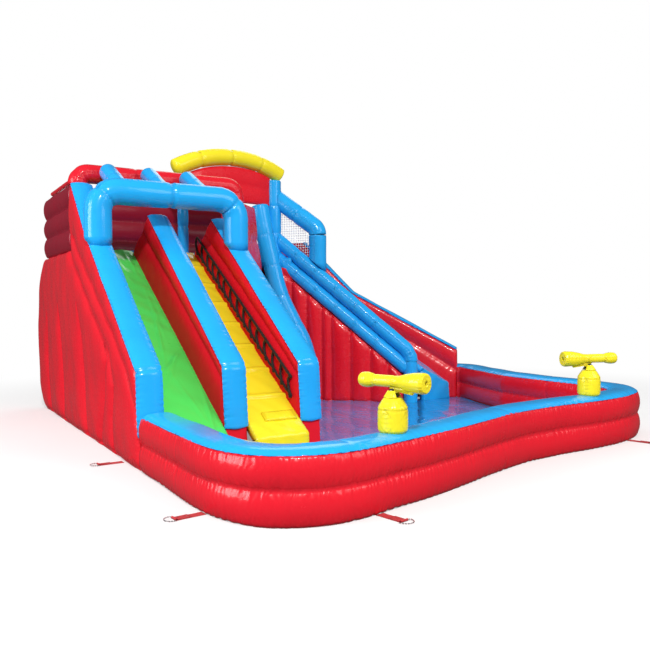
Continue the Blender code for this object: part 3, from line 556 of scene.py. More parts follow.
@dataclass
class Panel:
    """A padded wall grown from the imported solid: remeshed, softened, then welded and bellied."""

    node: str
    voxel: float = 0.022
    soften: int = 12
    faces: list[Face] = field(default_factory=list)
    seed: int = 3
    ripple: float = 0.004

    def skin(self) -> tuple[Array, list]:
        """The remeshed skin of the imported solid.

        Returns:
            The points and the faces.
        """
        source = frame["nodes"][self.node]
        copy = linked("skin_of_" + self.node, source.data.copy())
        grid = copy.modifiers.new("Even grid", "REMESH")
        grid.mode = "VOXEL"
        grid.voxel_size = self.voxel
        soft = copy.modifiers.new("Soft corners", "SMOOTH")
        soft.factor = 0.5
        soft.iterations = self.soften
        made = copy.evaluated_get(bpy.context.evaluated_depsgraph_get()).to_mesh()
        verts = np.zeros(len(made.vertices) * 3)
        made.vertices.foreach_get("co", verts)
        faces = [tuple(p.vertices) for p in made.polygons]
        bpy.data.objects.remove(copy)
        return verts.reshape(-1, 3) - SHIFT, faces

    def build(self, name: str) -> Object:
        """Builds the padded wall.

        Args:
            name: Piece name.

        Returns:
            The object, without its material.
        """
        verts, faces = self.skin()
        away = np.full(len(verts), NOT_NEAR)
        run = np.zeros(len(verts))
        normal = vertex_normals(verts, faces)
        moved = verts.copy()
        for i, face in enumerate(self.faces):
            out = np.asarray(face.normal, float)
            facing = np.clip((normal @ out - 0.35) / 0.5, 0, 1)
            if face.at is not None:
                facing = facing * (np.abs(verts @ out - face.at) < face.limit)
            flat = face.flat(verts)
            near = np.full(len(verts), NOT_NEAR)
            push = np.zeros(len(verts))
            for k, weld in enumerate(face.welds):
                gap, along = to_line(flat, weld.line)
                strong = np.clip((along / weld.fade), 0, 1) if weld.fade else 1.0
                push -= weld.depth * strong * np.exp(-((gap / (weld.reach / 2)) ** 1.3))
                push -= puckers(along, gap, weld.pitch, weld.seam.value * strong, weld.reach,
                                self.seed + 17 * i + 3 * k)
                faded = gap / np.maximum(strong, 0.03)
                near = np.minimum(near, faded)
                closer = (faded < away) & (facing > 0.3)
                run = np.where(closer, along, run)
                away = np.where(closer, faded, away)
            push += face.belly * (1 - np.exp(-((near / face.reach) ** 1.5)))
            moved += out * (push * facing)[:, None]
        moved += normal * (self.ripple * wander(verts, 0.45, self.seed))[:, None]
        moved[:, 2] = np.maximum(moved[:, 2], np.minimum(verts[:, 2], 0.001))
        return new_object(name, moved, faces, {"weld_away": away, "weld_run": run})


def vertex_normals(verts: Array, faces: list) -> Array:
    """Outward normals at the points of a closed quad mesh.

    Args:
        verts: Site points.
        faces: Lists of point indices.

    Returns:
        A unit vector for each point.
    """
    quads = np.array([f if len(f) == 4 else (*f, f[-1]) for f in faces])
    a, b, c, d = (verts[quads[:, i]] for i in range(4))
    each = np.cross(c - a, d - b)
    total = np.zeros_like(verts)
    for i in range(4):
        np.add.at(total, quads[:, i], each)
    return unit(total)


def flat_yz(points: Array) -> Array:
    """The Y and Z of site points."""
    return points[..., 1:3]


def flat_xz(points: Array) -> Array:
    """The X and Z of site points."""
    return points[..., [0, 2]]


def flat_sz(points: Array) -> Array:
    """The run down the second slide and the height of site points."""
    off = points - SIDE_END
    return np.stack([off @ DOWN, off[..., 2]], -1)


def flat_nz(points: Array) -> Array:
    """The place across the second slide and the height of site points."""
    off = points - SIDE_END
    return np.stack([off @ ACROSS, off[..., 2]], -1)


def flat_xy(points: Array) -> Array:
    """The X and Y of site points."""
    return points[..., :2]


def tuck(piece: Object, material: Material, slot: str, *nodes: str, body: str = BODY) -> Object:
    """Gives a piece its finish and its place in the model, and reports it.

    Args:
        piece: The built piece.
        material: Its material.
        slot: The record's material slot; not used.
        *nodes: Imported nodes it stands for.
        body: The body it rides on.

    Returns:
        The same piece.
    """
    piece.data.materials.clear()
    piece.data.materials.append(material)
    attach(piece, body)
    if nodes:
        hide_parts(*nodes)
    log.info("%s: %d faces for %s", piece.name, len(piece.data.polygons), ", ".join(nodes) or "itself")
    return piece


# ---------------------------------------------------------------- finishes


class Graph:
    """Adds nodes to a shader tree and feeds their sockets."""

    def __init__(self, tree: Tree) -> None:
        """Keeps the tree that the nodes go in."""
        self.tree = tree

    def feed(self, node: Node, feeds: dict) -> None:
        """Gives sockets of a node their values, or links them to other nodes.

        Args:
            node: The node.
            feeds: Socket name or index to a value or to another node's output.
        """
        for key, value in feeds.items():
            if isinstance(value, Socket):
                self.tree.links.new(value, node.inputs[key])
            else:
                node.inputs[key].default_value = value

    def add(self, kind: str, feeds: dict | None = None, **settings: object) -> Node:
        """Adds a node.

        Args:
            kind: Type name of the node.
            feeds: What its sockets are fed.
            **settings: Properties of the node.

        Returns:
            The node.
        """
        node = self.tree.nodes.new(kind)
        for key, value in settings.items():
            setattr(node, key, value)
        self.feed(node, feeds or {})
        return node

    def maths(self, way: str, a: object, b: object = 0.0, clamp: bool = False) -> Socket:
        """One arithmetic step, whose result is returned."""
        return self.add("ShaderNodeMath", {0: a, 1: b}, operation=way, use_clamp=clamp).outputs[0]

    def times(self, a: object, b: object, clamp: bool = False) -> Socket:
        """The product of two values."""
        return self.maths("MULTIPLY", a, b, clamp)

    def plus(self, a: object, b: object, clamp: bool = False) -> Socket:
        """The sum of two values."""
        return self.maths("ADD", a, b, clamp)

    def mix(self, share: object, a: object, b: object) -> Socket:
        """A blend of two colours by a share."""
        node = self.add("ShaderNodeMix", {0: share, 6: a, 7: b}, data_type="RGBA")
        return node.outputs[2]

    def noise(self, scale: float, detail: float = 2.0, rough: float = 0.5) -> Socket:
        """Noise on the piece's own coordinates."""
        feeds = {"Vector": self.place(), "Scale": scale, "Detail": detail, "Roughness": rough}
        return self.add("ShaderNodeTexNoise", feeds).outputs["Fac"]

    def ribs(self, scale: object, distortion: float, bands: str) -> Socket:
        """Bands on the piece's own coordinates."""
        feeds = {"Vector": self.place(), "Scale": scale, "Distortion": distortion}
        return self.add("ShaderNodeTexWave", feeds, bands_direction=bands).outputs["Fac"]

    def place(self) -> Socket:
        """The piece's own coordinates."""
        return self.add("ShaderNodeTexCoord").outputs["Object"]

    def value_of(self, name: str) -> Socket:
        """The mesh's own value of that name."""
        return self.add("ShaderNodeAttribute", attribute_name=name).outputs["Fac"]

    def bump(self, height: object, strength: object, distance: float = 1.0,
             under: Socket | None = None) -> Socket:
        """Relief from a height, on top of the relief under it."""
        feeds = {"Strength": strength, "Distance": distance, "Height": height}
        return self.add("ShaderNodeBump", feeds | ({"Normal": under} if under else {})).outputs[0]

    def cloth(self, name: str, feeds: dict) -> dict[str, Socket]:
        """Adds a shared cloth group.

        Args:
            name: Name of the group.
            feeds: What its sockets are fed.

        Returns:
            Socket of the shader to the group's output.
        """
        given = self.add("ShaderNodeGroup", node_tree=group_named(name))
        self.feed(given, feeds)
        return {"Base Color": given.outputs["Colour"], "Roughness": given.outputs["Roughness"],
                "Normal": given.outputs["Normal"]}


def new_group(name: str, inputs: dict[str, tuple[str, object]]) -> tuple[Tree, Graph, Sockets, Node]:
    """A shader node group that puts out Colour, Roughness and Normal.

    Args:
        name: Group name.
        inputs: Name to socket type and default value.

    Returns:
        The tree, its graph, its inputs' sockets and its output node.
    """
    tree = bpy.data.node_groups.new(name, "ShaderNodeTree")
    for key, (kind, value) in inputs.items():
        socket = tree.interface.new_socket(key, in_out="INPUT", socket_type="NodeSocket" + kind)
        socket.default_value = value
    for key, kind in (("Colour", "Color"), ("Roughness", "Float"), ("Normal", "Vector")):
        tree.interface.new_socket(key, in_out="OUTPUT", socket_type="NodeSocket" + kind)
    take = tree.nodes.new("NodeGroupInput").outputs
    return tree, Graph(tree), take, tree.nodes.new("NodeGroupOutput")


def coated_cloth_group() -> Tree:
    """Coated cloth: a fine scrim, slack creases, small gathers and grime at the welds.

    Returns:
        The group.
    """
    inputs = {"Colour": ("Color", (0.8, 0.1, 0.1, 1)), "Shade": ("Color", (0.3, 0.0, 0.0, 1))}
    inputs |= {key: ("Float", value) for key, value in (
        ("Fade", 0.2), ("Grime", 0.4), ("Gloss", 0.25), ("Scrim", 0.2), ("Slack", 0.2),
        ("Gather", 0.5), ("Reach", 28.0))}
    tree, g, take, give = new_group("Coated cloth", inputs)
    away, run = g.value_of("weld_away"), g.value_of("weld_run")
    near = g.maths("EXPONENT", g.times(g.times(away, take["Reach"]), -1.0))
    close = g.maths("EXPONENT", g.times(away, -70.0))
    broad = g.noise(0.9, 3.0, 0.55)
    patch = g.add("ShaderNodeMapRange", {"Value": broad, "From Min": 0.35, "From Max": 0.7})
    faded = g.times(patch.outputs[0], take["Fade"])
    dirt = g.times(g.times(close, g.noise(14.0, 4.0, 0.6)), take["Grime"])
    colour = g.mix(g.plus(faded, dirt, clamp=True), take["Colour"], take["Shade"])
    scuff = g.times(g.noise(6.0, 5.0, 0.65), 0.16)
    rough = g.plus(g.plus(take["Gloss"], scuff), -0.08)
    rough = g.plus(rough, g.times(close, 0.10), clamp=True)
    fold = g.maths("SINE", g.plus(g.times(run, 150.0), g.times(g.noise(7.0), 14.0)))
    gather = g.times(g.times(fold, near), 0.0016)
    weave = g.times(g.plus(g.ribs(95.0, 0.4, "Z"), g.ribs(95.0, 0.4, "DIAGONAL")), 0.0003)
    relief = g.bump(g.times(g.noise(2.6, 3.0, 0.5), 0.05), take["Slack"])
    relief = g.bump(gather, take["Gather"], under=relief)
    relief = g.bump(weave, take["Scrim"], under=relief)
    g.feed(give, {"Colour": colour, "Roughness": rough, "Normal": relief})
    return tree


def webbing_group() -> Tree:
    """Woven webbing: a diagonal weave with worn threads.

    Returns:
        The group.
    """
    inputs = {"Colour": ("Color", (0.02, 0.02, 0.02, 1)), "Worn": ("Color", (0.1, 0.1, 0.1, 1)),
              "Rib": ("Float", 60.0)}
    tree, g, take, give = new_group("Webbing", inputs)
    rib = g.ribs(take["Rib"], 1.2, "DIAGONAL")
    worn = g.times(rib, g.noise(30.0, 4.0, 0.7), clamp=True)
    g.feed(give, {"Colour": g.mix(worn, take["Colour"], take["Worn"]),
                  "Roughness": g.plus(g.times(g.noise(40.0, 3.0), 0.25), 0.55),
                  "Normal": g.bump(rib, 0.6, 0.002)})
    return tree


GROUPS: dict[str, Tree] = {}


def group_named(name: str) -> Tree:
    """The shared node group of that name, built the first time it is asked for.

    Args:
        name: Name of the group.

    Returns:
        The group.
    """
    if name not in GROUPS:
        GROUPS[name] = {"Coated cloth": coated_cloth_group, "Webbing": webbing_group}[name]()
    return GROUPS[name]


def new_material(name: str, colour: Colour) -> tuple[Material, Graph, Node]:
    """A new node material.

    Args:
        name: Name of the material.
        colour: Its colour in plain views.

    Returns:
        The material, its graph and its shader.
    """
    made = bpy.data.materials.new(name)
    made.use_nodes = True
    made.diffuse_color = (*colour, 1)
    return made, Graph(made.node_tree), made.node_tree.nodes["Principled BSDF"]


def darker(colour: Colour, share: float) -> tuple[float, ...]:
    """A darker tone of a colour, with its alpha."""
    return (*[c * share for c in colour], 1)


@dataclass(frozen=True)
class Vinyl:
    """Glossy coated cloth of an air chamber."""

    name: str
    colour: Colour
    shade: Colour
    slot: str
    gloss: float = 0.21
    coat: float = 0.30
    coat_rough: float = 0.06
    shine: float = 0.50
    bend: float = 1.38
    fade: float = 0.25
    grime: float = 0.5
    scrim: float = 0.008
    slack: float = 0.15
    gather: float = 0.8
    reach: float = 28.0

    def material(self) -> Material:
        """Builds the material.

        Returns:
            The material.
        """
        made, g, shader = new_material(self.name, self.colour)
        given = g.cloth("Coated cloth", {
            "Colour": (*self.colour, 1), "Shade": (*self.shade, 1), "Fade": self.fade,
            "Grime": self.grime, "Gloss": self.gloss, "Scrim": self.scrim, "Slack": self.slack,
            "Gather": self.gather, "Reach": self.reach})
        g.feed(shader, given | {"Coat Weight": self.coat, "Coat Roughness": self.coat_rough,
                                "Specular IOR Level": self.shine, "IOR": self.bend,
                                "Coat IOR": self.bend})
        return made


@dataclass(frozen=True)
class Webbing:
    """Woven strap or rope."""

    name: str
    colour: Colour
    worn: Colour
    slot: str
    rib: float

    def material(self) -> Material:
        """Builds the material.

        Returns:
            The material.
        """
        made, g, shader = new_material(self.name, self.colour)
        given = g.cloth("Webbing", {"Colour": (*self.colour, 1), "Worn": (*self.worn, 1),
                                    "Rib": self.rib})
        g.feed(shader, given | {"Sheen Weight": 0.05})
        return made


@dataclass(frozen=True)
class Netting:
    """Knotted netting: the cloth between its threads is open."""

    name: str
    colour: Colour
    slot: str
    mesh: float = 0.042
    thread: float = 0.13

    def material(self) -> Material:
        """Builds the material, whose openings come from the piece's own net_u and net_v.

        Returns:
            The material.
        """
        made, g, shader = new_material(self.name, self.colour)
        lines = []
        for key in ("net_u", "net_v"):
            part = g.maths("FRACT", g.maths("DIVIDE", g.value_of(key), self.mesh))
            lines.append(g.maths("ABSOLUTE", g.maths("SUBTRACT", part, 0.5)))
        thin = g.maths("MAXIMUM", *lines)
        knot = g.times(g.maths("MINIMUM", *lines), 0.25)
        g.feed(shader, {
            "Alpha": g.maths("GREATER_THAN", g.plus(thin, knot), 0.5 - self.thread / 2 + 0.03),
            "Base Color": g.mix(g.noise(20.0, 3.0), (*self.colour, 1), darker(self.colour, 0.8)),
            "Roughness": g.plus(g.times(g.noise(60.0, 2.0), 0.2), 0.6),
            "Normal": g.bump(thin, 0.5, 0.003)})
        return made


@dataclass(frozen=True)
class Hard:
    """A hard finish: brushed steel or moulded plastic."""

    name: str
    colour: Colour
    slot: str
    rough: float
    metal: float = 0.0
    grain: float = 90.0

    def material(self) -> Material:
        """Builds the material.

        Returns:
            The material.
        """
        made, g, shader = new_material(self.name, self.colour)
        worn = g.times(g.noise(25.0, 4.0, 0.6), 0.5)
        g.feed(shader, {
            "Base Color": g.mix(worn, (*self.colour, 1), darker(self.colour, 0.6)),
            "Roughness": g.plus(g.times(g.noise(self.grain, 3.0), 0.2), self.rough - 0.1),
            "Normal": g.bump(g.noise(self.grain, 2.0), 0.25, 0.001),
            "Metallic": self.metal})
        return made


RED_TONE, RED_SHADE = (0.800, 0.012, 0.026), (0.58, 0.008, 0.024)


class Finish(Enum):
    """The finishes of the slide."""

    RED = Vinyl("red_cloth", RED_TONE, RED_SHADE, "red_vinyl", gloss=0.27)
    # DEEP is the red cloth darkened to paint the shade that falls inside the tower; only its upper walls
    # wear it.
    DEEP = Vinyl("painted_shade_red_cloth", (0.30, 0.005, 0.022), (0.18, 0.004, 0.018), "red_vinyl",
                 gloss=0.38, coat=0.10)
    POOL_RED = Vinyl("pool_red_cloth", RED_TONE, RED_SHADE, "red_vinyl", gloss=0.25, coat=0.36,
                     coat_rough=0.05, gather=1.1, reach=11.0)
    INNER = Vinyl("inner_red_cloth", RED_TONE, RED_SHADE, "red_vinyl", gloss=0.50, coat=0.0,
                  shine=0.12)
    BLUE = Vinyl("blue_cloth", (0.018, 0.430, 0.915), (0.012, 0.24, 0.66), "blue_vinyl")
    YELLOW = Vinyl("yellow_cloth", (0.970, 0.830, 0.026), (0.72, 0.50, 0.010), "yellow_vinyl")
    GREEN = Vinyl("green_cloth", (0.095, 0.820, 0.125), (0.035, 0.46, 0.060), "green_vinyl",
                  gloss=0.30, slack=0.35)
    FLOOR = Vinyl("floor_cloth", (0.030, 0.330, 0.820), (0.025, 0.20, 0.60), "blue_floor",
                  gloss=0.14, coat=0.7, coat_rough=0.05, fade=0.5, slack=0.30)
    ROPE = Webbing("black_rope", (0.009, 0.008, 0.008), (0.030, 0.028, 0.028), "black_webbing", 45.0)
    STRAP = Webbing("red_strap", (0.52, 0.012, 0.020), (0.68, 0.08, 0.08), "red_webbing", 70.0)
    NET = Netting("white_netting", (0.84, 0.84, 0.86), "white_net")
    PLASTIC = Hard("black_moulding", (0.025, 0.025, 0.027), "black_plastic", 0.48)
    STEEL = Hard("plated_steel", (0.62, 0.63, 0.65), "steel", 0.30, 1.0, 140.0)


MATERIALS: dict[str, Material] = {}


def material_of(finish: Finish) -> Material:
    """A finish's shared material, built the first time it is asked for.

    Args:
        finish: The finish.

    Returns:
        The material.
    """
    if finish.name not in MATERIALS:
        MATERIALS[finish.name] = finish.value.material()
    return MATERIALS[finish.name]


def dress(piece: Object, finish: Finish, *nodes: str, body: str = BODY) -> Object:
    """Puts a finish on a piece and places it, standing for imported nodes."""
    return tuck(piece, material_of(finish), finish.value.slot, *nodes, body=body)


@dataclass
class Sweep:
    """A closed section carried along a path, gathered at welds that run along it.

    The section's points are (out, up), measured along the out and up directions of each station.
    Each weld is (out, up, fold depth), each tick a run where a short weld crosses the piece, and
    dome is the length over which an end draws in.
    """

    path: Array
    out: Array
    up: Array
    section: Array
    welds: list[tuple[float, float, float]]
    step: float = 0.022
    pitch: float = 0.085
    reach: float = 0.07
    ticks: tuple[float, ...] = ()
    tick_depth: float = 0.012
    swell: float = 0.006
    dome: tuple[float, float] = (0.0, 0.0)
    keep_feet: float = 0.0008
    seed: int = 7

    def grid(self) -> tuple[Array, Array]:
        """The piece before it is gathered.

        Returns:
            The rings, and the run of each.
        """
        long = np.concatenate([[0], np.cumsum(np.linalg.norm(np.diff(self.path, axis=0), axis=1))])
        grid = (self.path[:, None] + self.out[:, None] * self.section[None, :, :1]
                + self.up[:, None] * self.section[None, :, 1:])
        return grid, long

    def build(self, name: str) -> Object:
        """Builds the piece.

        Args:
            name: Piece name.

        Returns:
            The object, without its material.
        """
        grid, run = self.grid()
        normal = normals_of(grid)
        middle = grid.mean(1, keepdims=True)
        if ((grid - middle) * normal).sum() < 0:
            normal = -normal
        away = np.full(grid.shape[:2], NOT_NEAR)
        runs = np.repeat(run[:, None], grid.shape[1], 1)
        push = self.swell * (0.6 * waves(runs, 1.1, self.seed) + 0.5 * wander(grid, 0.5, self.seed + 1))
        for i, (at_out, at_up, depth) in enumerate(self.welds):
            gap = np.hypot(self.section[:, 0] - at_out, self.section[:, 1] - at_up)[None, :]
            gap = np.repeat(gap, len(run), 0)
            push -= puckers(runs + 0.031 * i, gap, self.pitch, depth, self.reach, self.seed + 4 + 7 * i)
            away = np.minimum(away, gap)
        for tick in self.ticks:
            push -= self.tick_depth * np.exp(-((np.abs(runs - tick) / 0.016) ** 1.3))
        ends = np.minimum(runs, run[-1] - runs)
        grid = grid + normal * (push * np.clip(ends / 0.05, 0.2, 1))[..., None]
        for share, past in zip(self.dome, (runs, run[-1] - runs)):
            if share:
                grid = middle + (grid - middle) * drawn_in(past, share, 0.03)[..., None]
        if self.keep_feet:
            grid[..., 2] = np.maximum(grid[..., 2], self.keep_feet)
        return ring_object(name, grid, away, runs)


def lobe(low: Point, high: Point, swell: float, count: int = 13) -> list[Point]:
    """One bulge between two welds, as (out, up) points without the last.

    Args:
        low: The lower weld.
        high: The upper weld.
        swell: How far the bulge stands out.
        count: Points in it.

    Returns:
        The points.
    """
    points = []
    for i in range(count):
        t = i / count
        ease = math.sin(math.pi * t) ** 0.75
        points.append((low[0] + (high[0] - low[0]) * t + swell * ease,
                       low[1] + (high[1] - low[1]) * t))
    return points


def mirrored(side: list[Point]) -> list[Point]:
    """A section's other side, in the order that closes the loop."""
    return [(-o, z) for o, z in reversed(side)]


def fixed(vector: Array, count: int) -> Array:
    """The same vector at each of a number of stations."""
    return np.repeat(np.asarray(vector, float)[None, :], count, 0)


def crowned(half: float, crown: float, foot: float, over_count: int, under_count: int) -> Array:
    """The section of a strip: a crowned top over a narrower flat underside.

    Args:
        half: Half its width.
        crown: How far its middle stands over its edges.
        foot: Height of its underside.
        over_count: Points on its top.
        under_count: Points on its underside.

    Returns:
        The section's (out, up) points.
    """
    share = np.sin(np.linspace(-math.pi / 2, math.pi / 2, over_count))
    over = [(half * x, crown * (1 - abs(x) ** ROUND) - 0.010) for x in -share]
    under = [(x, foot) for x in np.linspace(-half * 0.9, half * 0.9, under_count)]
    return np.array(over + under)


def along_edges(corners: list[Point], count: int) -> Array:
    """Evenly spaced points on the edges of a closed outline.

    Args:
        corners: The corners.
        count: Steps on each edge.

    Returns:
        Points of two numbers each.
    """
    return np.array([[a[0] + (b[0] - a[0]) * t, a[1] + (b[1] - a[1]) * t]
                     for a, b in zip(corners, corners[1:] + corners[:1])
                     for t in np.linspace(0, 1, count, endpoint=False)])


def pad(name: str, node: str, finish: Finish, *values: object, ripple: float = 0.004) -> Object:
    """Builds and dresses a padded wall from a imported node.

    Args:
        name: Piece name.
        node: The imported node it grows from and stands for.
        finish: Its finish.
        *values: The panel's voxel size, softening passes, faces and seed.
        ripple: Height of its slow ripples.

    Returns:
        The piece.
    """
    return dress(Panel(node, *values, ripple=ripple).build(name), finish, node)


# ---------------------------------------------------------------- the splash pool


@dataclass
class Pool:
    """The splash pool: a wall of two bulges, its blue band and the floor sheet."""

    width: float = 6.40
    length: float = 5.00
    wall: float = 0.42
    far_end: float = 0.62
    band: float = 0.182
    band_foot: float = 0.553
    height: float = 0.60
    crease: float = 0.285
    tuck_under: float = 0.030
    floor_cells: tuple[int, int] = (62, 58)
    quilt: float = 0.62

    def stations(self) -> tuple[Array, Array]:
        """The wall's middle line.

        Returns:
            Its site points, and the outward direction at each.
        """
        shares = (
            (0.0328, 0.2700), (0.0328, 0.1000), (0.0328, -0.0200), (0.0420, -0.1000),
            (0.0720, -0.1580), (0.1330, -0.1860), (0.2190, -0.1700), (0.3440, -0.1320),
            (0.4530, -0.0900), (0.5470, -0.0580), (0.6560, -0.0440), (0.7660, -0.0440),
            (0.8590, -0.0260), (0.9300, 0.0160), (0.9640, 0.1000), (0.9640, 0.2600),
            (0.9690, 0.4400))
        controls = [np.array([x * self.width, y * self.length, 0.0]) for x, y in shares]
        line = list(curve_through(controls, 16))
        across = FAR_ACROSS + self.wall / 2
        corner = side_point(self.far_end + self.wall * 2 / 5, across)
        end = side_point(self.far_end + CLEAR, across)
        line += list(rounded([line[-1], corner, end], self.wall * 3 / 5, 12)[1:])
        path, _ = evenly(np.array(line), 0.022)
        along = unit(np.gradient(path, axis=0))
        out = np.stack([along[:, 1], -along[:, 0], np.zeros(len(along))], 1)
        out[0], out[-1] = -X, ACROSS
        return path, out

    def wall_section(self) -> Array:
        """The red wall's section: ground, two bulges a side, and the top under the band.

        Returns:
            The section's (out, up) points.
        """
        foot, mid, top = (0.172, 0.001), (0.178, self.crease), (self.band - 0.004, self.band_foot)
        side = lobe(foot, mid, 0.036) + lobe(mid, top, 0.034) + [top]
        cover = [(x, self.band_foot + 0.006) for x in np.linspace(0.15, -0.15, 5)]
        under = [(x, 0.001) for x in np.linspace(-0.13, 0.13, 5)]
        return np.array(side + cover + mirrored(side) + under)

    def band_section(self) -> Array:
        """The blue band's section: a low crown over the wall's top.

        Returns:
            The section's (out, up) points.
        """
        share = np.sin(np.linspace(-math.pi / 2, math.pi / 2, 33))
        top = [(self.band * x, self.band_foot + (self.height - self.band_foot) * (1 - abs(x) ** 3.2))
               for x in -share]
        under = [(x, self.band_foot - 0.012) for x in np.linspace(-0.168, 0.168, 7)]
        return np.array(top + under)

    def floor(self) -> Object:
        """The floor sheet: a thin quilted mat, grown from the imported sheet's outline.

        Returns:
            The object.
        """
        node = frame["nodes"]["pool_floor"]
        bm = bmesh.new()
        bm.from_mesh(node.data)
        low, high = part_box("pool_floor")
        for axis, count in enumerate(self.floor_cells):
            span = high[axis] - low[axis]
            for i in range(1, count):
                spot, normal = Vector((0, 0, 0)), Vector((0, 0, 0))
                spot[axis] = low[axis] + span * i / count
                normal[axis] = 1
                every = bm.verts[:] + bm.edges[:] + bm.faces[:]
                bmesh.ops.bisect_plane(bm, geom=every, plane_co=spot, plane_no=normal)
        bm.verts.ensure_lookup_table()
        verts = np.array([v.co for v in bm.verts]) - SHIFT
        for i, vert in enumerate(bm.verts):
            sides = [f.normal for f in vert.link_faces if abs(f.normal.z) < 0.5]
            if sides:
                out = sum(sides, Vector()).normalized()
                verts[i] += np.array([out.x, out.y, 0.0]) * self.tuck_under
        index = {v: i for i, v in enumerate(bm.verts)}
        faces = [tuple(index[v] for v in f.verts) for f in bm.faces]
        bm.free()
        top = verts[:, 2] > 0.006
        part = np.abs((verts[:, 0] / self.quilt + 0.5) % 1 - 0.5) * self.quilt
        lift = 0.010 * (1 - np.exp(-((part / 0.08) ** 1.5))) + 0.004 * wander(verts, 0.6, 9)
        verts[top, 2] += lift[top] - 0.003
        return new_object("pool_floor_mat", verts, faces, {"weld_away": part, "weld_run": verts[:, 1]})

    def lap(self, index: int, corner: Array, way: Array, side: Array) -> Object:
        """A lap of the floor sheet under the foot of a slide.

        Args:
            index: Number of the lap.
            corner: Its first corner.
            way: The vector along one edge.
            side: The vector along the other.

        Returns:
            The object.
        """
        a, b = np.meshgrid(np.linspace(0, 1, 12), np.linspace(0, 1, 12), indexing="ij")
        top = corner + way * a[..., None] + side * b[..., None] + UP * 0.009
        grid = np.concatenate([top, (top - UP * 0.006)[:, ::-1]], 1)
        return plain_rings(f"pool_floor_lap_{index + 1}", grid, 0.3, 1)

    def build(self) -> None:
        """Builds and places the pool."""
        path, out = self.stations()
        up = fixed(UP, len(path))
        welds = [(0.178, self.crease, 0.019), (self.band, self.band_foot, 0.018), (0.172, 0.0, 0.014),
                 (-0.178, self.crease, 0.012), (-self.band, self.band_foot, 0.012)]
        wall = Sweep(path, out, up, self.wall_section(), welds, ticks=(2.72, 9.2, 13.4), seed=5)
        dress(wall.build("pool_wall_skin"), Finish.POOL_RED, "pool_wall_left", "pool_wall_front",
              "pool_wall_front_right", "pool_wall_right")
        welds = [(self.band, self.band_foot, 0.014), (-self.band, self.band_foot, 0.014)]
        band = Sweep(path, out, up, self.band_section(), welds, ticks=(2.75, 5.1, 9.3, 12.2, 15.0),
                     tick_depth=0.006, swell=0.004, seed=25)
        dress(band.build("pool_band"), Finish.BLUE, "pool_rim")
        dress(self.floor(), Finish.FLOOR, "pool_floor")
        laps = ((side_point(-0.35, 0.0), DOWN * 0.65, ACROSS * 0.50),
                (side_point(-2.15, -0.75), DOWN * 0.60, ACROSS * 0.77),
                (np.array([0.32, 0.95, 0.0]), X * 1.90, Y * 0.50))
        for i, (corner, way, side) in enumerate(laps):
            dress(self.lap(i, corner, way, side), Finish.FLOOR)


# ---------------------------------------------------------------- the tower and its lanes


def strip_line(top: Point) -> list[Point]:
    """The sloping front line (Y, Z) of a lane wall, from the strip's foot to its top."""
    return [(1.389, 0.33), (1.45, 1.03), (3.6525, 2.6846), top]


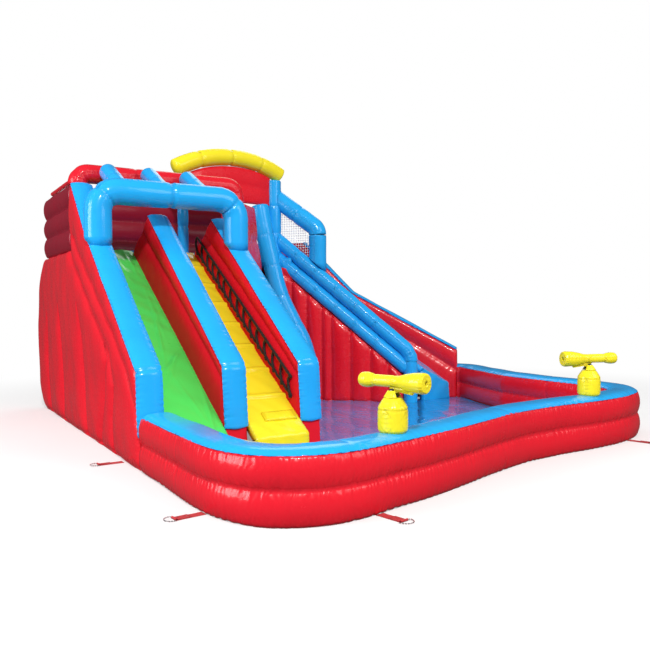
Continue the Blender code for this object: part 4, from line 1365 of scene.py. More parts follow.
@dataclass
class LaneWalls:
    """The three padded walls beside the lanes, each with a blue strip on its sloping front."""

    wall: float = WALL
    left_top: Point = (4.36, 3.38)
    middle_top: Point = (4.02, 2.96)
    crown: float = 0.032

    def strip(self, name: str, start: float, top: Point, seed: int) -> Object:
        """A crowned strip along a wall's front.

        Args:
            name: Piece name.
            start: X of the wall's left face.
            top: Upper end of the strip (Y, Z).
            seed: Chooses the gathers.

        Returns:
            The object.
        """
        corners = [np.array([start + self.wall / 2, y, z]) for y, z in strip_line(top)]
        path, _ = evenly(rounded(corners, 0.10, 8), STEP)
        half = self.wall / 2
        kink = float(np.hypot(1.45 - 1.389, 0.70))
        welds = [(half, -0.010, 0.017), (-half, -0.010, 0.017)]
        section = crowned(half, self.crown, -0.030, 31, 7)
        sweep = Sweep(path, fixed(X, len(path)), upper_side(path), section, welds, pitch=0.065,
                      reach=0.070, ticks=(kink,), tick_depth=0.020, swell=0.004, dome=(0.03, 0.02),
                      seed=seed)
        return sweep.build(name)

    def outer_welds(self) -> list[Weld]:
        """The welds on the left wall's outer face: two sloping chambers and a fan of upright ones.

        Returns:
            The welds.
        """
        edge = [(1.40, 0.0), (1.40, 0.33), (1.47, 1.02), (3.66, 2.66), (4.37, 3.34)]
        return [
            Weld(edge, 0.020, 0.06),
            Weld([(1.42, 0.50), (1.85, 1.01), (2.40, 1.39), (3.02, 1.76), (3.95, 2.35), (4.30, 2.60)],
                 0.034, 0.10, Seam.FINE),
            Weld([(2.42, 0.0), (2.45, 0.40), (2.37, 0.79), (2.55, 1.11), (3.34, 1.61), (4.03, 2.06),
                  (4.55, 2.42)], 0.042, 0.13, Seam.FINE),
            Weld([(5.30, 1.75), (5.25, 1.19), (5.13, 0.02)], 0.050, 0.22, Seam.FINE, fade=0.9),
            Weld([(4.05, 1.75), (3.92, 1.24), (3.71, 0.02)], 0.050, 0.22, Seam.FINE, fade=0.9),
            Weld([(2.85, 1.30), (2.64, 1.06), (3.02, 0.02)], 0.040, 0.20, Seam.FINE, fade=0.8),
            Weld([(6.15, 1.60), (6.35, 0.9), (6.15, 0.02)], 0.036, 0.20, Seam.FINE, fade=0.7),
            Weld([(4.45, 2.46), (6.80, 2.46)], 0.014, 0.06),
            Weld([(1.30, 0.0), (6.60, 0.0)], 0.026, 0.12),
        ]

    def lane_face(self, sign: float, at: float) -> Face:
        """A wall's face towards a lane, with one weld along its middle and one at its front edge.

        Args:
            sign: 1 for the right face of the wall, -1 for the left one.
            at: X of the face.

        Returns:
            The face.
        """
        crease = [(1.42, 0.80), (1.78, 1.07), (2.27, 1.40), (3.10, 1.96), (4.12, 2.61), (4.60, 2.92)]
        front = [(1.40, 0.0), (1.41, 0.33), (1.47, 1.01), (3.66, 2.65), (4.06, 2.95), (4.40, 3.30)]
        return Face(X * sign, flat_yz, [Weld(crease, 0.036, 0.12),
                                        Weld(front, 0.016, 0.06, pitch=0.08)],
                    belly=0.012, at=sign * at)

    def build(self) -> None:
        """Builds and places the walls and strips."""
        outer = Face(-X, flat_yz, self.outer_welds(), belly=0.022, reach=0.22, at=0.0)
        pad("left_wall_skin", "left_side_wall", Finish.RED, 0.024, 26,
            [outer, self.lane_face(1, self.wall)], 41, ripple=0.006)
        for node, start, end, seed in (("middle_wall", MIDDLE_START, CLIMB_START, 43),
                                       ("right_wall", RIGHT_START, TOWER_END, 47)):
            faces = [self.lane_face(-1, start), self.lane_face(1, end)]
            pad(node + "_skin", node, Finish.INNER, 0.022, 10, faces, seed)
        for i, (name, start, top) in enumerate((("left_side_wall", 0.0, self.left_top),
                                                ("middle_wall", MIDDLE_START, self.middle_top),
                                                ("right_wall", RIGHT_START, self.middle_top))):
            strip = self.strip(name + "_band", start, top, 60 + 9 * i)
            dress(strip, Finish.BLUE, name + "_strip")


@dataclass
class Strands:
    """Rope strands gathered into one mesh."""

    verts: list[Array] = field(default_factory=list)
    faces: list[tuple[int, ...]] = field(default_factory=list)
    count: int = 0

    def add(self, points: Array, across: float, sides: int = 8) -> None:
        """Adds one closed, twisted strand.

        Args:
            points: Points of its middle line.
            across: Its thickness.
            sides: Points round it.
        """
        path, run = evenly(points, 0.016)
        _, side, lift = path_frames(path, X)
        turn = 2 * np.pi * np.arange(sides) / sides
        twist = 1 + 0.08 * np.sin(run[:, None] * 300 + turn[None, :] * 2)
        spoke = side[:, None] * np.cos(turn)[:, None] + lift[:, None] * np.sin(turn)[:, None]
        flat = (path[:, None] + spoke * (across / 2 * twist)[..., None]).reshape(-1, 3)
        first, end = self.count, self.count + len(flat)
        self.faces += ring_faces(len(path), sides, first)
        self.faces += [tuple(range(first + sides - 1, first - 1, -1)), tuple(range(end - sides, end))]
        self.verts.append(flat)
        self.count = end


@dataclass
class Lanes:
    """The green sliding bed, the yellow climbing bed and the rope beside it."""

    lane: float = 0.66
    back: float = 4.6995
    foot: float = 0.36
    deck: float = DECK
    steps: int = 8
    folds: int = 15
    rope_start: float = 1.60
    rope_end: float = 4.50
    rope_high: float = 0.345
    rope_low: float = 0.110
    rope_across: float = 0.034
    loops: int = 14

    def slope(self) -> float:
        """Rise of the beds per metre of Y."""
        return (self.deck - self.foot) / (4.70 - LANE_FRONT)

    def bed(self, name: str, start: float, stepped: bool, seed: int) -> Object:
        """A padded bed from the pool floor over its front edge up to the deck.

        Args:
            name: Piece name.
            start: X of its left edge.
            stepped: Whether it has foot rolls.
            seed: Chooses the slack folds.

        Returns:
            The object.
        """
        x = start + self.lane / 2
        knee = LANE_FRONT - 0.17
        corners = [np.array([x, knee - 0.02, 0.004]), np.array([x, knee, self.bed_height(knee)]),
                   np.array([x, self.back, self.deck])]
        path, run = evenly(rounded(corners, 0.06, 8), 0.014 if stepped else 0.018)
        up = upper_side(path)
        half = self.lane / 2 - 0.004
        across = np.linspace(half, -half, 45)
        over = [(x, 0.004 - 0.016 * abs(x / half) ** 6) for x in across]
        under = [(x, -0.110) for x in np.linspace(-half, half, 9)]
        section = np.array(over + under)
        grid = path[:, None] + X * section[None, :, :1] + up[:, None] * section[None, :, 1:]
        runs = np.repeat(run[:, None], len(section), 1)
        place = np.repeat(section[None, :, 0], len(run), 0)
        top = np.repeat((np.arange(len(section)) < len(over))[None, :], len(run), 0)
        if stepped:
            lift, away = self.foot_rolls(runs, place, half, seed)
        else:
            lift, away = self.slack_folds(runs, place, half, seed)
        grid = grid + up[:, None] * (lift * top)[..., None]
        grid[..., 2] = np.maximum(grid[..., 2], 0.002)
        return ring_object(name, grid, away, runs)

    def slack_folds(self, runs: Array, place: Array, half: float, seed: int) -> tuple[Array, Array]:
        """Loose slanting folds of the sliding sheet.

        Args:
            runs: Run of each point of the bed.
            place: Place of each point across it.
            half: Half its width.
            seed: Chooses the irregularity.

        Returns:
            Height over the bed and distance to a weld, for each point.
        """
        lift = np.zeros_like(runs)
        draw = np.random.default_rng(seed)
        for _ in range(self.folds):
            at, side = draw.uniform(0.5, 4.2), draw.uniform(-half, half)
            turn = draw.uniform(-0.5, 0.75)
            long, thin = draw.uniform(0.18, 0.55), draw.uniform(0.018, 0.034)
            a = (runs - at) * math.cos(turn) + (place - side) * math.sin(turn)
            b = -(runs - at) * math.sin(turn) + (place - side) * math.cos(turn)
            lift += draw.uniform(0.008, 0.018) * np.exp(-((a / long) ** 2) - (b / thin) ** 2)
        lift += 0.006 * waves(runs * 0.8 + place * 0.9, 0.30, seed + 1)
        edge = half - np.abs(place)
        lift *= np.clip(edge / 0.06, 0, 1)
        lift -= puckers(runs, edge, 0.08, 0.008, 0.08, seed + 3)
        return lift, edge

    def foot_rolls(self, runs: Array, place: Array, half: float, seed: int) -> tuple[Array, Array]:
        """Foot rolls across the climbing bed.

        Args:
            runs: Run of each point of the bed.
            place: Place of each point across it.
            half: Half its width.
            seed: Chooses the irregularity.

        Returns:
            Height over the bed and distance to a weld, for each point.
        """
        first = self.foot + 0.012
        pitch = (runs.max() - first) / self.steps
        part = (runs - first) / pitch
        near = (part + 0.5) % 1 - 0.5
        ledge = np.clip(np.round(part), 1, self.steps - 1) == np.round(part)
        off = near * pitch
        roll = 0.030 * np.exp(-((off - 0.035) / 0.040) ** 2) * ledge
        cut = 0.016 * np.exp(-((np.abs(off + 0.008) / 0.010) ** 1.5)) * ledge
        lift = roll - cut + 0.004 * waves(runs * 0.7 + place, 0.25, seed)
        edge = half - np.abs(place)
        lift -= puckers(runs, edge, 0.07, 0.007, 0.07, seed + 3)
        away = np.minimum(edge, np.where(ledge, np.abs(off), NOT_NEAR))
        return lift, away

    def bed_height(self, y: float) -> float:
        """Height of the beds' plane at a Y."""
        return self.foot + self.slope() * (y - LANE_FRONT)

    def patch(self) -> Object:
        """The doubled patch on the lowest foothold of the climbing bed.

        Returns:
            The object.
        """
        rows = []
        corners = [(1.44, 1.50), (1.84, 1.50), (1.84, 1.385), (1.44, 1.385)]
        centre = np.array([1.64, 1.4425])
        normal = unit(np.array([0.0, -self.slope(), 1.0]))
        for lift, grow in ((0.002, 0.0), (0.030, 0.0), (0.036, -0.018), (0.037, -0.10)):
            ring = []
            for flat in along_edges(corners, 10):
                way = flat - centre
                spot = centre + way * max(0.05, 1 + grow / max(np.abs(way).min(), 0.045))
                ring.append(np.array([*spot, self.bed_height(spot[1])]) + normal * lift)
            rows.append(ring)
        grid = np.array(rows)
        return plain_rings("foot_patch", grid, axis=0)

    def rope(self) -> Object:
        """The rope ladder laid along the right wall: two lines, rungs and a knot at each.

        Returns:
            The object.
        """
        x = RIGHT_START - 0.026
        start, end, loops = self.rope_start, self.rope_end, self.loops
        rope = Strands()

        def line(y: float, lift: float) -> Array:
            """A point of a line that runs above the bed."""
            return np.array([x, y, self.bed_height(y) + lift])

        high, low = self.rope_high, self.rope_low
        rope.add(np.array([line(y, high) for y in np.linspace(start - 0.03, end, 30)]), self.rope_across)
        wobble = np.linspace(start, end, loops * 12 + 1)
        turn = math.pi * loops / (end - start)
        rope.add(np.array([line(y, low + 0.020 * abs(math.cos(turn * (y - start)))) for y in wobble]),
                 0.028)
        for i in range(loops + 1):
            y = start + (end - start) * i / loops
            bow = 0.040 + 0.014 * math.sin(5.1 * i)
            rung = [line(y, high), line(y + bow, high * 2 / 3 + low / 3),
                    line(y + bow, high / 3 + low * 2 / 3), line(y - 0.01, low - 0.01)]
            rope.add(curve_through(rung, 4), self.rope_across)
            knot = [line(y, low) + np.array([0.0, 0.024 * math.cos(a), 0.020 * math.sin(a)])
                    for a in np.linspace(0, 5.4, 12)]
            rope.add(np.array(knot), 0.030)
        return new_object("rope_ladder", np.vstack(rope.verts), rope.faces)

    def build(self) -> None:
        """Builds and places the beds and the rope."""
        dress(self.bed("slide_sheet", WALL, False, 71), Finish.GREEN, "slide_bed")
        dress(self.bed("climb_sheet", CLIMB_START, True, 73), Finish.YELLOW, "climb_bed")
        dress(self.patch(), Finish.YELLOW)
        dress(self.rope(), Finish.ROPE, "loop_ladder")


@dataclass
class Tower:
    """The deck, its support, the rear and upper walls and the low net on the left."""

    back: float = BACK
    shoulder: float = 2.46
    top: float = 3.38
    crease: float = 0.045
    rear_wall: float = 0.18
    upper_start: float = 4.4575
    net_start: float = 4.83
    net_place: float = 0.151
    net_rail: float = 0.0667
    narrowing: float = 0.30
    narrow_start: float = 1.95
    narrow_rise: float = 1.30

    def stacked(self, name: str, path: Array, out: Array, half: float, seed: int,
                extra: float = 0.0) -> Object:
        """An upper wall of three bulges on top of each other.

        Args:
            name: Piece name.
            path: Its foot line.
            out: Its outward direction.
            half: Half its thickness.
            seed: Chooses the gathers.
            extra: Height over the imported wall.

        Returns:
            The object.
        """
        high = (self.top + extra - self.shoulder) / 3
        side, welds = [], []
        for i in range(3):
            low, up = (half - self.crease, high * i), (half - self.crease, high * (i + 1))
            side += lobe(low, up, self.crease, 11)
            welds += [(low[0], low[1], 0.012), (-low[0], low[1], 0.012)]
        side.append((half - self.crease, high * 3 - 0.002))
        cap = [(x, high * 3) for x in np.linspace(half * 0.5, -half * 0.5, 5)]
        foot = [(x, 0.0) for x in np.linspace(-half * 0.5, half * 0.5, 5)]
        section = np.array(side + cap + mirrored(side) + foot)
        line, _ = evenly(path, 0.022)
        sweep = Sweep(line, fixed(out, len(line)), fixed(UP, len(line)), section, welds, swell=0.008,
                      dome=(0.035, 0.035), seed=seed)
        return sweep.build(name)

    def net(self) -> None:
        """The low net over the left wall and the thin rail on it."""
        y0, y1, z0, z1 = self.net_start, self.back, self.top + 0.001, self.top + 0.0902
        at_y, at_z = np.meshgrid(np.linspace(y0, y1, 60), np.linspace(z0, z1, 6), indexing="ij")
        at_x = self.net_place + 0.003 * np.sin(at_y * 9.0) * np.sin((at_z - z0) / (z1 - z0) * np.pi)
        cloth = net_object("side_netting", np.stack([at_x, at_y, at_z], -1), at_y, at_z)
        dress(cloth, Finish.NET, "side_net")
        z = z1 + self.net_rail / 2
        path = np.array([[self.net_place, y, z] for y in (y0, y1)])
        tube = Tube(path, self.net_rail, ring_welds=(0.4, 0.8, 1.2), sides=24, neck=0.004, seam=Seam.FINE,
                    pitch=0.03, reach=0.03, dome=(0.03, 0.03), seed=81)
        dress(tube.build("net_rail_tube"), Finish.RED, "side_net_rail")

    def build(self) -> None:
        """Builds and places the tower's closed chambers."""
        half = WALL / 2
        path = np.array([[half, y, self.shoulder] for y in (self.upper_start, self.back)])
        # The upper left and rear walls wear DEEP, a red darkened to paint the shade inside the tower.
        dress(self.stacked("left_upper_wall", path, X, half, 83), Finish.DEEP, "left_side_wall_upper")
        low, high = (np.array(v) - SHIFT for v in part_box("rear_wall_upper"))
        half = self.rear_wall / 2
        path = np.array([[x, self.back - half, self.shoulder] for x in (low[0], high[0])])
        dress(self.stacked("rear_upper_wall", path, Y, half, 89, 0.07), Finish.DEEP, "rear_wall_upper")
        self.net()
        uprights = [Weld([(x, 0.02), (x, 2.44)], 0.030, 0.12) for x in (0.75, 1.25, 1.75, 2.25, 2.70)]
        faces = [Face(Y, flat_xz, uprights, 0.02, at=self.back),
                 Face(-Y, flat_xz, uprights, 0.01, at=-(self.back - self.rear_wall))]
        pad("rear_wall_skin", "rear_wall", Finish.RED, 0.026, 5, faces, 91)
        rows = [Weld([(0.0, z), (3.0, z)], 0.026, 0.10) for z in (0.6, 1.2, 1.8)]
        faces = [Face(-Y, flat_xz, rows, 0.012, at=-4.70)]
        pad("deck_support_skin", "deck_support", Finish.RED, 0.026, 5, faces, 93)
        seams = [Weld([(x, 4.6), (x, 6.4)], 0.020, 0.12) for x in (0.8, 1.3, 1.8, 2.3, 2.8, 3.3)]
        pad("deck_pad", "deck", Finish.BLUE, 0.03, 4, [Face(UP, flat_xy, seams, 0.012, at=DECK)], 97)
        rows = [Weld([(-0.6, z), (1.2, z)], 0.022, 0.10) for z in (0.55, 1.1, 1.65, 2.2, 2.75)]
        faces = [Face(DOWN * sign, flat_nz, rows, 0.012) for sign in (1, -1)]
        self.narrow(pad("corner_panel_skin", "corner_panel", Finish.RED, 0.026, 5, faces, 99))

    def narrow(self, panel: Object) -> None:
        """Draws the corner panel's upper part back behind the leaning column.

        Args:
            panel: The dressed panel.
        """
        points = np.zeros(len(panel.data.vertices) * 3)
        panel.data.vertices.foreach_get("co", points)
        points = points.reshape(-1, 3) - SHIFT
        off = (points - SIDE_END) @ ACROSS
        share = self.narrowing * np.clip((points[:, 2] - self.narrow_start) / self.narrow_rise, 0, 1)
        points -= ACROSS * ((off - off.min()) * share)[:, None]
        panel.data.vertices.foreach_set("co", (points + SHIFT).ravel())
        panel.data.update()


def net_object(name: str, grid: Array, net_u: Array, net_v: Array) -> Object:
    """A thin sheet from a grid of points, with the places of its threads.

    Args:
        name: Piece name.
        grid: Rows and columns of site points.
        net_u: Place of each point across the threads one way, in metres.
        net_v: The same the other way.

    Returns:
        The object.
    """
    rows, cols = grid.shape[:2]
    faces = [(i * cols + k, (i + 1) * cols + k, (i + 1) * cols + k + 1, i * cols + k + 1)
             for i in range(rows - 1) for k in range(cols - 1)]
    made = new_object(name, grid.reshape(-1, 3), faces, {"net_u": net_u, "net_v": net_v})
    thick = made.modifiers.new("Thread thickness", "SOLIDIFY")
    thick.thickness = 0.002
    thick.offset = 0.0
    return made


# ---------------------------------------------------------------- arches, crown and second slide


@dataclass
class Roof:
    """The blue arch over the lanes, three ribs, and the red roof tube behind them."""

    left: float = WALL / 2
    right: float = 2.045
    place: float = 3.46
    foot: float = 2.54
    tube: float = 0.35
    top: float = 3.33
    bend: float = 0.27
    roof_place: float = 4.56
    roof_tube: float = 0.27
    roof_top: float = 3.68
    strip_slope: float = 0.7513
    rib: float = 0.245
    first_rib: float = 0.50
    rib_pitch: float = 0.575

    def portal(self, right: float, at: float, feet: Point, top: float) -> list[Array]:
        """The corners of an upright portal.

        Args:
            right: X of its right leg.
            at: Its Y.
            feet: Height of its left and right foot.
            top: Height of its beam.

        Returns:
            The corners.
        """
        return [np.array(p) for p in ((self.left, at, feet[0]), (self.left, at, top),
                                      (right, at, top), (right, at, feet[1]))]

    def arch(self) -> Object:
        """The thick blue arch with a mitre in each upper corner.

        Returns:
            The object.
        """
        z = self.top - self.tube / 2
        path = rounded(self.portal(self.right, self.place, (self.foot, self.foot), z), self.bend, 16)
        total = length_of(path)
        bend = self.bend * math.pi / 2
        leg = z - self.foot - self.bend
        welds = (leg + bend / 2, total - leg - bend / 2, total / 2)
        gentle = unit(np.array([0.0, -self.strip_slope, 1.0]))
        seat = (np.array([0.0, self.place, self.foot + 0.0006]), gentle)
        made = Tube(path, self.tube, Y.copy(), ring_welds=welds, line_welds=(-0.4, math.pi * 0.62),
                    start_face=seat, end_face=seat, sides=72, pitch=0.07, neck=0.022, seed=101,
                    reach=0.075)
        return made.build("front_arch_tube")

    def build(self) -> None:
        """Builds and places the arch, the ribs and the roof tube."""
        dress(self.arch(), Finish.BLUE, "front_arch")
        z = self.roof_top - self.roof_tube / 2
        end = TOWER_END + (self.roof_place - 4.36) + self.left
        path = rounded(self.portal(end, self.roof_place, (3.381, 3.301), z), self.roof_tube * 11 / 20, 12)
        total = length_of(path)
        welds = (0.13, total * 0.34, total * 0.67, total - 0.13)
        tube = Tube(path, self.roof_tube, Y.copy(), ring_welds=welds,
                    line_welds=(math.pi * 0.5, -math.pi * 0.5), neck=0.010, seed=111)
        dress(tube.build("roof_tube_skin"), Finish.RED, "roof_tube")
        stop = self.roof_place - self.roof_tube / 2
        for i in range(3):
            x = self.first_rib + self.rib_pitch * i
            path = np.array([[x, self.place + 0.06, self.top - 0.18],
                             [x, stop - 0.05, self.roof_top - 0.10]])
            rib = Tube(path, self.rib, ring_welds=(0.50,), line_welds=(0.15, math.pi - 0.15), sides=40,
                       pitch=0.05, seam=Seam.FINE, neck=0.006, dome=(0.03, 0.10), seed=120 + 5 * i,
                       reach=0.04)
            dress(rib.build(f"roof_rib_{i + 1}_skin"), Finish.BLUE, f"roof_rib_{i + 1}")


@dataclass
class Crown:
    """The yellow arch over the deck on its two posts, and the red board under it."""

    place: float = 5.10
    start: float = 1.75
    end: float = 3.80
    edge: float = 3.86
    top: float = 4.26
    tube: float = 0.28
    post: float = 0.18
    post_run: float = 2.53
    skew: float = 0.11
    right_post: float = 0.26
    foot: float = 3.42
    deck: float = 2.5003

    def path(self) -> Array:
        """The crown's middle line.

        Returns:
            Its site points.
        """
        middle, reach = (self.start + self.end) / 2, (self.end - self.start) / 2
        rise = self.top - self.tube / 2 - self.edge
        last = side_point(-self.post_run, WALL / 3)[1]
        share = np.linspace(-1, 1, 61)
        flat = 1 - np.abs(share) ** 2.2
        lifted = self.edge + rise * flat + self.skew * ((share + 1) / 2) ** 1.5
        at_y = self.place + (last - self.place) * (share + 1) / 2
        return np.stack([middle + reach * share, at_y, lifted], 1)

    def board(self, path: Array) -> Object:
        """The padded red board that hangs under the crown.

        Args:
            path: The crown's middle line.

        Returns:
            The object.
        """
        inner = path[5:-5]
        lift = path_frames(inner, UP)[2]
        high = inner - lift * (self.tube / 2 + 0.004)
        rows, half = [], 0.03
        for i, point in enumerate(high):
            share = i / (len(high) - 1)
            ends = min(1.0, 5 * min(share, 1 - share) + 0.35)
            height = point[2] - self.foot
            ring = []
            for a in np.linspace(0, 2 * math.pi, 48, endpoint=False):
                up = (1 - math.cos(a)) / 2
                lobes = 0.72 + 0.42 * abs(math.sin(2 * math.pi * up)) ** 0.8
                thick = half * math.copysign(min(1.0, abs(math.sin(a)) * 2.2), math.sin(a)) * lobes
                ring.append([point[0], point[1] + thick * ends * 1.15, self.foot + height * up])
            rows.append(ring)
        grid = np.array(rows)
        gap = np.minimum(grid[..., 2] - self.foot, high[:, None, 2] - grid[..., 2])
        runs = np.repeat(length_of(inner, 0.03) * np.linspace(0, 1, len(inner))[:, None], 48, 1)
        front = np.sign(grid[..., 1] - high[:, None, 1])
        grid[..., 1] -= front * puckers(runs, gap, 0.07, 0.008, 0.06, 133)
        return ring_object("crown_board_pad", grid, gap, runs)

    def build(self) -> None:
        """Builds and places the crown, its board and its posts."""
        path = self.path()
        total = length_of(path)
        arch = Tube(path, self.tube, ring_welds=(total * 0.22, total * 0.5, total * 0.78),
                    line_welds=(0.9, math.pi - 0.9), dome=(0.018, 0.018), seed=131)
        dress(arch.build("crown_arch_tube"), Finish.YELLOW, "crown_arch")
        dress(self.board(path), Finish.RED, "crown_board")
        for name, seed in (("left", 141), ("right", 147)):
            low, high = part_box(f"crown_post_{name}")
            middle = (np.array(low) + np.array(high)) / 2 - SHIFT
            raised = self.skew * 9 / 10 if name == "right" else 0.0
            ends = ((middle[0], middle[1], self.deck), (middle[0], middle[1], high.z - 0.012 + raised))
            across = self.right_post if name == "right" else self.post
            post = Tube(np.array(ends), across, Y.copy(), ring_welds=(0.45, 0.92),
                        line_welds=(0.3, math.pi + 0.3), sides=40, neck=0.008, pitch=0.06,
                        dome=(0.02, 0.03), seed=seed)
            dress(post.build(f"crown_post_{name}_skin"), Finish.BLUE, f"crown_post_{name}")


@dataclass
class SideSlide:
    """The second slide: its walls, rails, bed, tube frame with a net, and the leaning column."""

    wall: float = WALL
    lane: float = 0.52
    far_wall: float = 0.24
    top_run: float = 2.20
    post_run: float = 2.53
    rail: float = 0.245
    end_top: float = 0.91
    start_top: float = 2.87
    frame_tube: float = 0.31
    frame_top: float = 3.72
    frame_end: float = 3.20
    frame_run: float = 1.75
    column_tube: float = 0.31
    column_top: float = 3.37
    deck: float = DECK

    def __post_init__(self) -> None:
        """Works out the slope of the rails."""
        self.slope = (self.start_top - self.end_top) / (self.top_run + self.rail / 2)
        self.tall = self.rail / math.cos(math.atan(self.slope))

    def rail_top(self, s: float) -> float:
        """Height of the upper rail's top line at a run down the slide."""
        return self.end_top - self.slope * s

    def rails(self) -> None:
        """The two blue rails on the near wall."""
        mid, start = self.wall / 2 - 0.035, -self.top_run - 0.25
        foot, bend = -self.rail / 2 - CLEAR, -self.rail * 4 / 5

        def upper(s: float) -> float:
            """Height of the upper rail's middle line."""
            return self.rail_top(s) - self.tall / 2

        def lower(s: float) -> float:
            """Height of the lower rail's middle line."""
            return upper(s) - self.tall - 0.001

        corners = [side_point(start, mid, upper(start)), side_point(bend, mid, upper(bend)),
                   side_point(foot, mid, upper(foot) - self.rail / 3), side_point(foot, mid, 0.002)]
        tip = -self.rail * 3 / 5
        straight = np.array([side_point(start, mid, lower(start)), side_point(tip, mid, lower(tip))])
        welds = tuple(np.arange(0.42, 2.7, 0.46))
        for name, path, rings, line, dome, seed in (
                ("upper", rounded(corners, -tip, 10), welds + (3.05,), 0.83, 0.0, 151),
                ("lower", straight, welds, 0.80, 0.12, 157)):
            tube = Tube(path, self.rail, ring_welds=rings, line_welds=(math.pi * line, 0.2),
                        start_face=(side_point(start, 0), DOWN), sides=64, pitch=0.06, seam=Seam.DEEP,
                        neck=0.006, dome=(0.0, dome), seed=seed, reach=0.065)
            dress(tube.build(f"{name}_rail_tube"), Finish.BLUE, f"{name}_rail")

    def bed(self) -> Object:
        """The bed, whose mouth runs slantwise from the near wall to the far one.

        Returns:
            The object.
        """
        knee, thick = -0.07, 0.12
        sides = np.linspace(0.004, self.lane - 0.004, 31)
        lines = []
        for across in sides:
            share = across / self.lane
            end = 0.10 + 0.40 * share
            mouth = 0.69 - 0.42 * (end - knee) / (0.50 - knee)
            corners = [side_point(-self.top_run, 0, self.deck), side_point(knee, 0, 0.69),
                       side_point(end - 0.01, 0, mouth), side_point(end, 0, 0.003)]
            lines.append(evenly(rounded(corners, 0.05, 6), STEP)[0])
        count = max(len(line) for line in lines)
        spread = [np.stack([np.interp(np.linspace(0, 1, count), np.linspace(0, 1, len(line)), line[:, i])
                            for i in range(3)], 1) for line in lines]
        top = np.stack([line + ACROSS * (self.wall + a) for line, a in zip(spread, sides)], 1)
        edge = np.minimum(sides, self.lane - sides)[None, :].repeat(count, 0)
        run = np.linspace(0, 3.4, count)[:, None].repeat(len(sides), 1)
        normal = unit(np.cross(np.gradient(top, axis=1), np.gradient(top, axis=0)))
        if normal[..., 2].mean() < 0:
            normal = -normal
        lift = 0.006 * waves(run + sides[None, :], 0.35, 163) - puckers(run, edge, 0.08, 0.010, 0.08, 161)
        lift *= np.clip(edge / 0.02, 0, 1)
        over = top + normal * lift[..., None]
        under = top - normal * thick
        under[..., 2] = np.maximum(under[..., 2], 0.002)
        grid = np.concatenate([over, under[:, ::-6]], 1)
        away = np.concatenate([edge, np.full((count, under[:, ::-6].shape[1]), 0.5)], 1)
        runs = np.concatenate([run, run[:, ::-6]], 1)
        grid[..., 2] = np.maximum(grid[..., 2], 0.002)
        return ring_object("side_bed_pad", grid, away, runs)

    def walls(self) -> None:
        """The red near wall with its upright bulges, and the far wall."""
        uprights = [Weld([(s, 0.02), (s, 3.0)], 0.040, 0.10, Seam.FINE)
                    for s in (-2.20, -1.93, -1.66, -1.49, -1.155, -0.805, -0.50)]
        seat = Weld([(-2.3, self.rail_top(-2.3) - 2 * self.tall - 0.01),
                     (-0.25, self.rail_top(-0.25) - 2 * self.tall)], 0.020, 0.05, Seam.DEEP, 0.07)
        foot = Weld([(-2.6, 0.0), (-0.25, 0.0)], 0.016, 0.04, pitch=0.07)
        place = float(SIDE_END @ ACROSS)
        faces = [Face(-ACROSS, flat_sz, uprights + [seat, foot], 0.024, 0.12, at=-place),
                 Face(ACROSS, flat_sz, [Weld([(-2.4, 1.5), (-0.3, 0.10)], 0.03, 0.10)], 0.012, 0.12,
                      at=place + self.wall)]
        pad("near_wall_skin", "side_near_wall", Finish.RED, 0.022, 9, faces, 171)
        self.far(place + self.wall + self.lane)

    def far(self, inner: float) -> None:
        """The red far wall with the blue strip on its sloping top.

        Args:
            inner: Place of its inner face across the slide.
        """
        crease = Weld([(0.62, 0.50), (-0.16, 0.99), (-1.27, 1.52), (-2.6, 2.35)], 0.034, 0.11)
        edge = Weld([(0.62, 0.86), (-1.27, 1.89), (-2.2, 2.84)], 0.014, 0.05, pitch=0.08)
        uprights = [Weld([(s, 0.0), (s, 3.0)], 0.030, 0.12) for s in (-2.6, -2.0, -1.4, -0.8, -0.2)]
        faces = [Face(-ACROSS, flat_sz, [crease, edge], 0.016, 0.12, at=-inner),
                 Face(ACROSS, flat_sz, uprights, 0.022, 0.15, at=inner + self.far_wall)]
        pad("far_wall_skin", "side_far_wall", Finish.RED, 0.024, 9, faces, 177)
        corners = [side_point(s, FAR_ACROSS + self.far_wall / 2, z)
                   for s, z in ((0.62, 0.88), (-1.27, 1.91), (-2.2, 2.86))]
        path, _ = evenly(rounded(corners, 0.3, 8), STEP)
        along = unit(np.gradient(path, axis=0))
        up = unit(np.cross(along, ACROSS))
        up *= np.sign(up[:, 2:3])
        half = self.far_wall / 2
        sweep = Sweep(path, fixed(ACROSS, len(path)), up, crowned(half, 0.026, -0.028, 27, 5),
                      [(half, -0.01, 0.010), (-half, -0.01, 0.010)], pitch=0.065, reach=0.05,
                      swell=0.004, dome=(0.04, 0.02), seed=181)
        dress(sweep.build("far_wall_band"), Finish.BLUE, "side_far_strip")

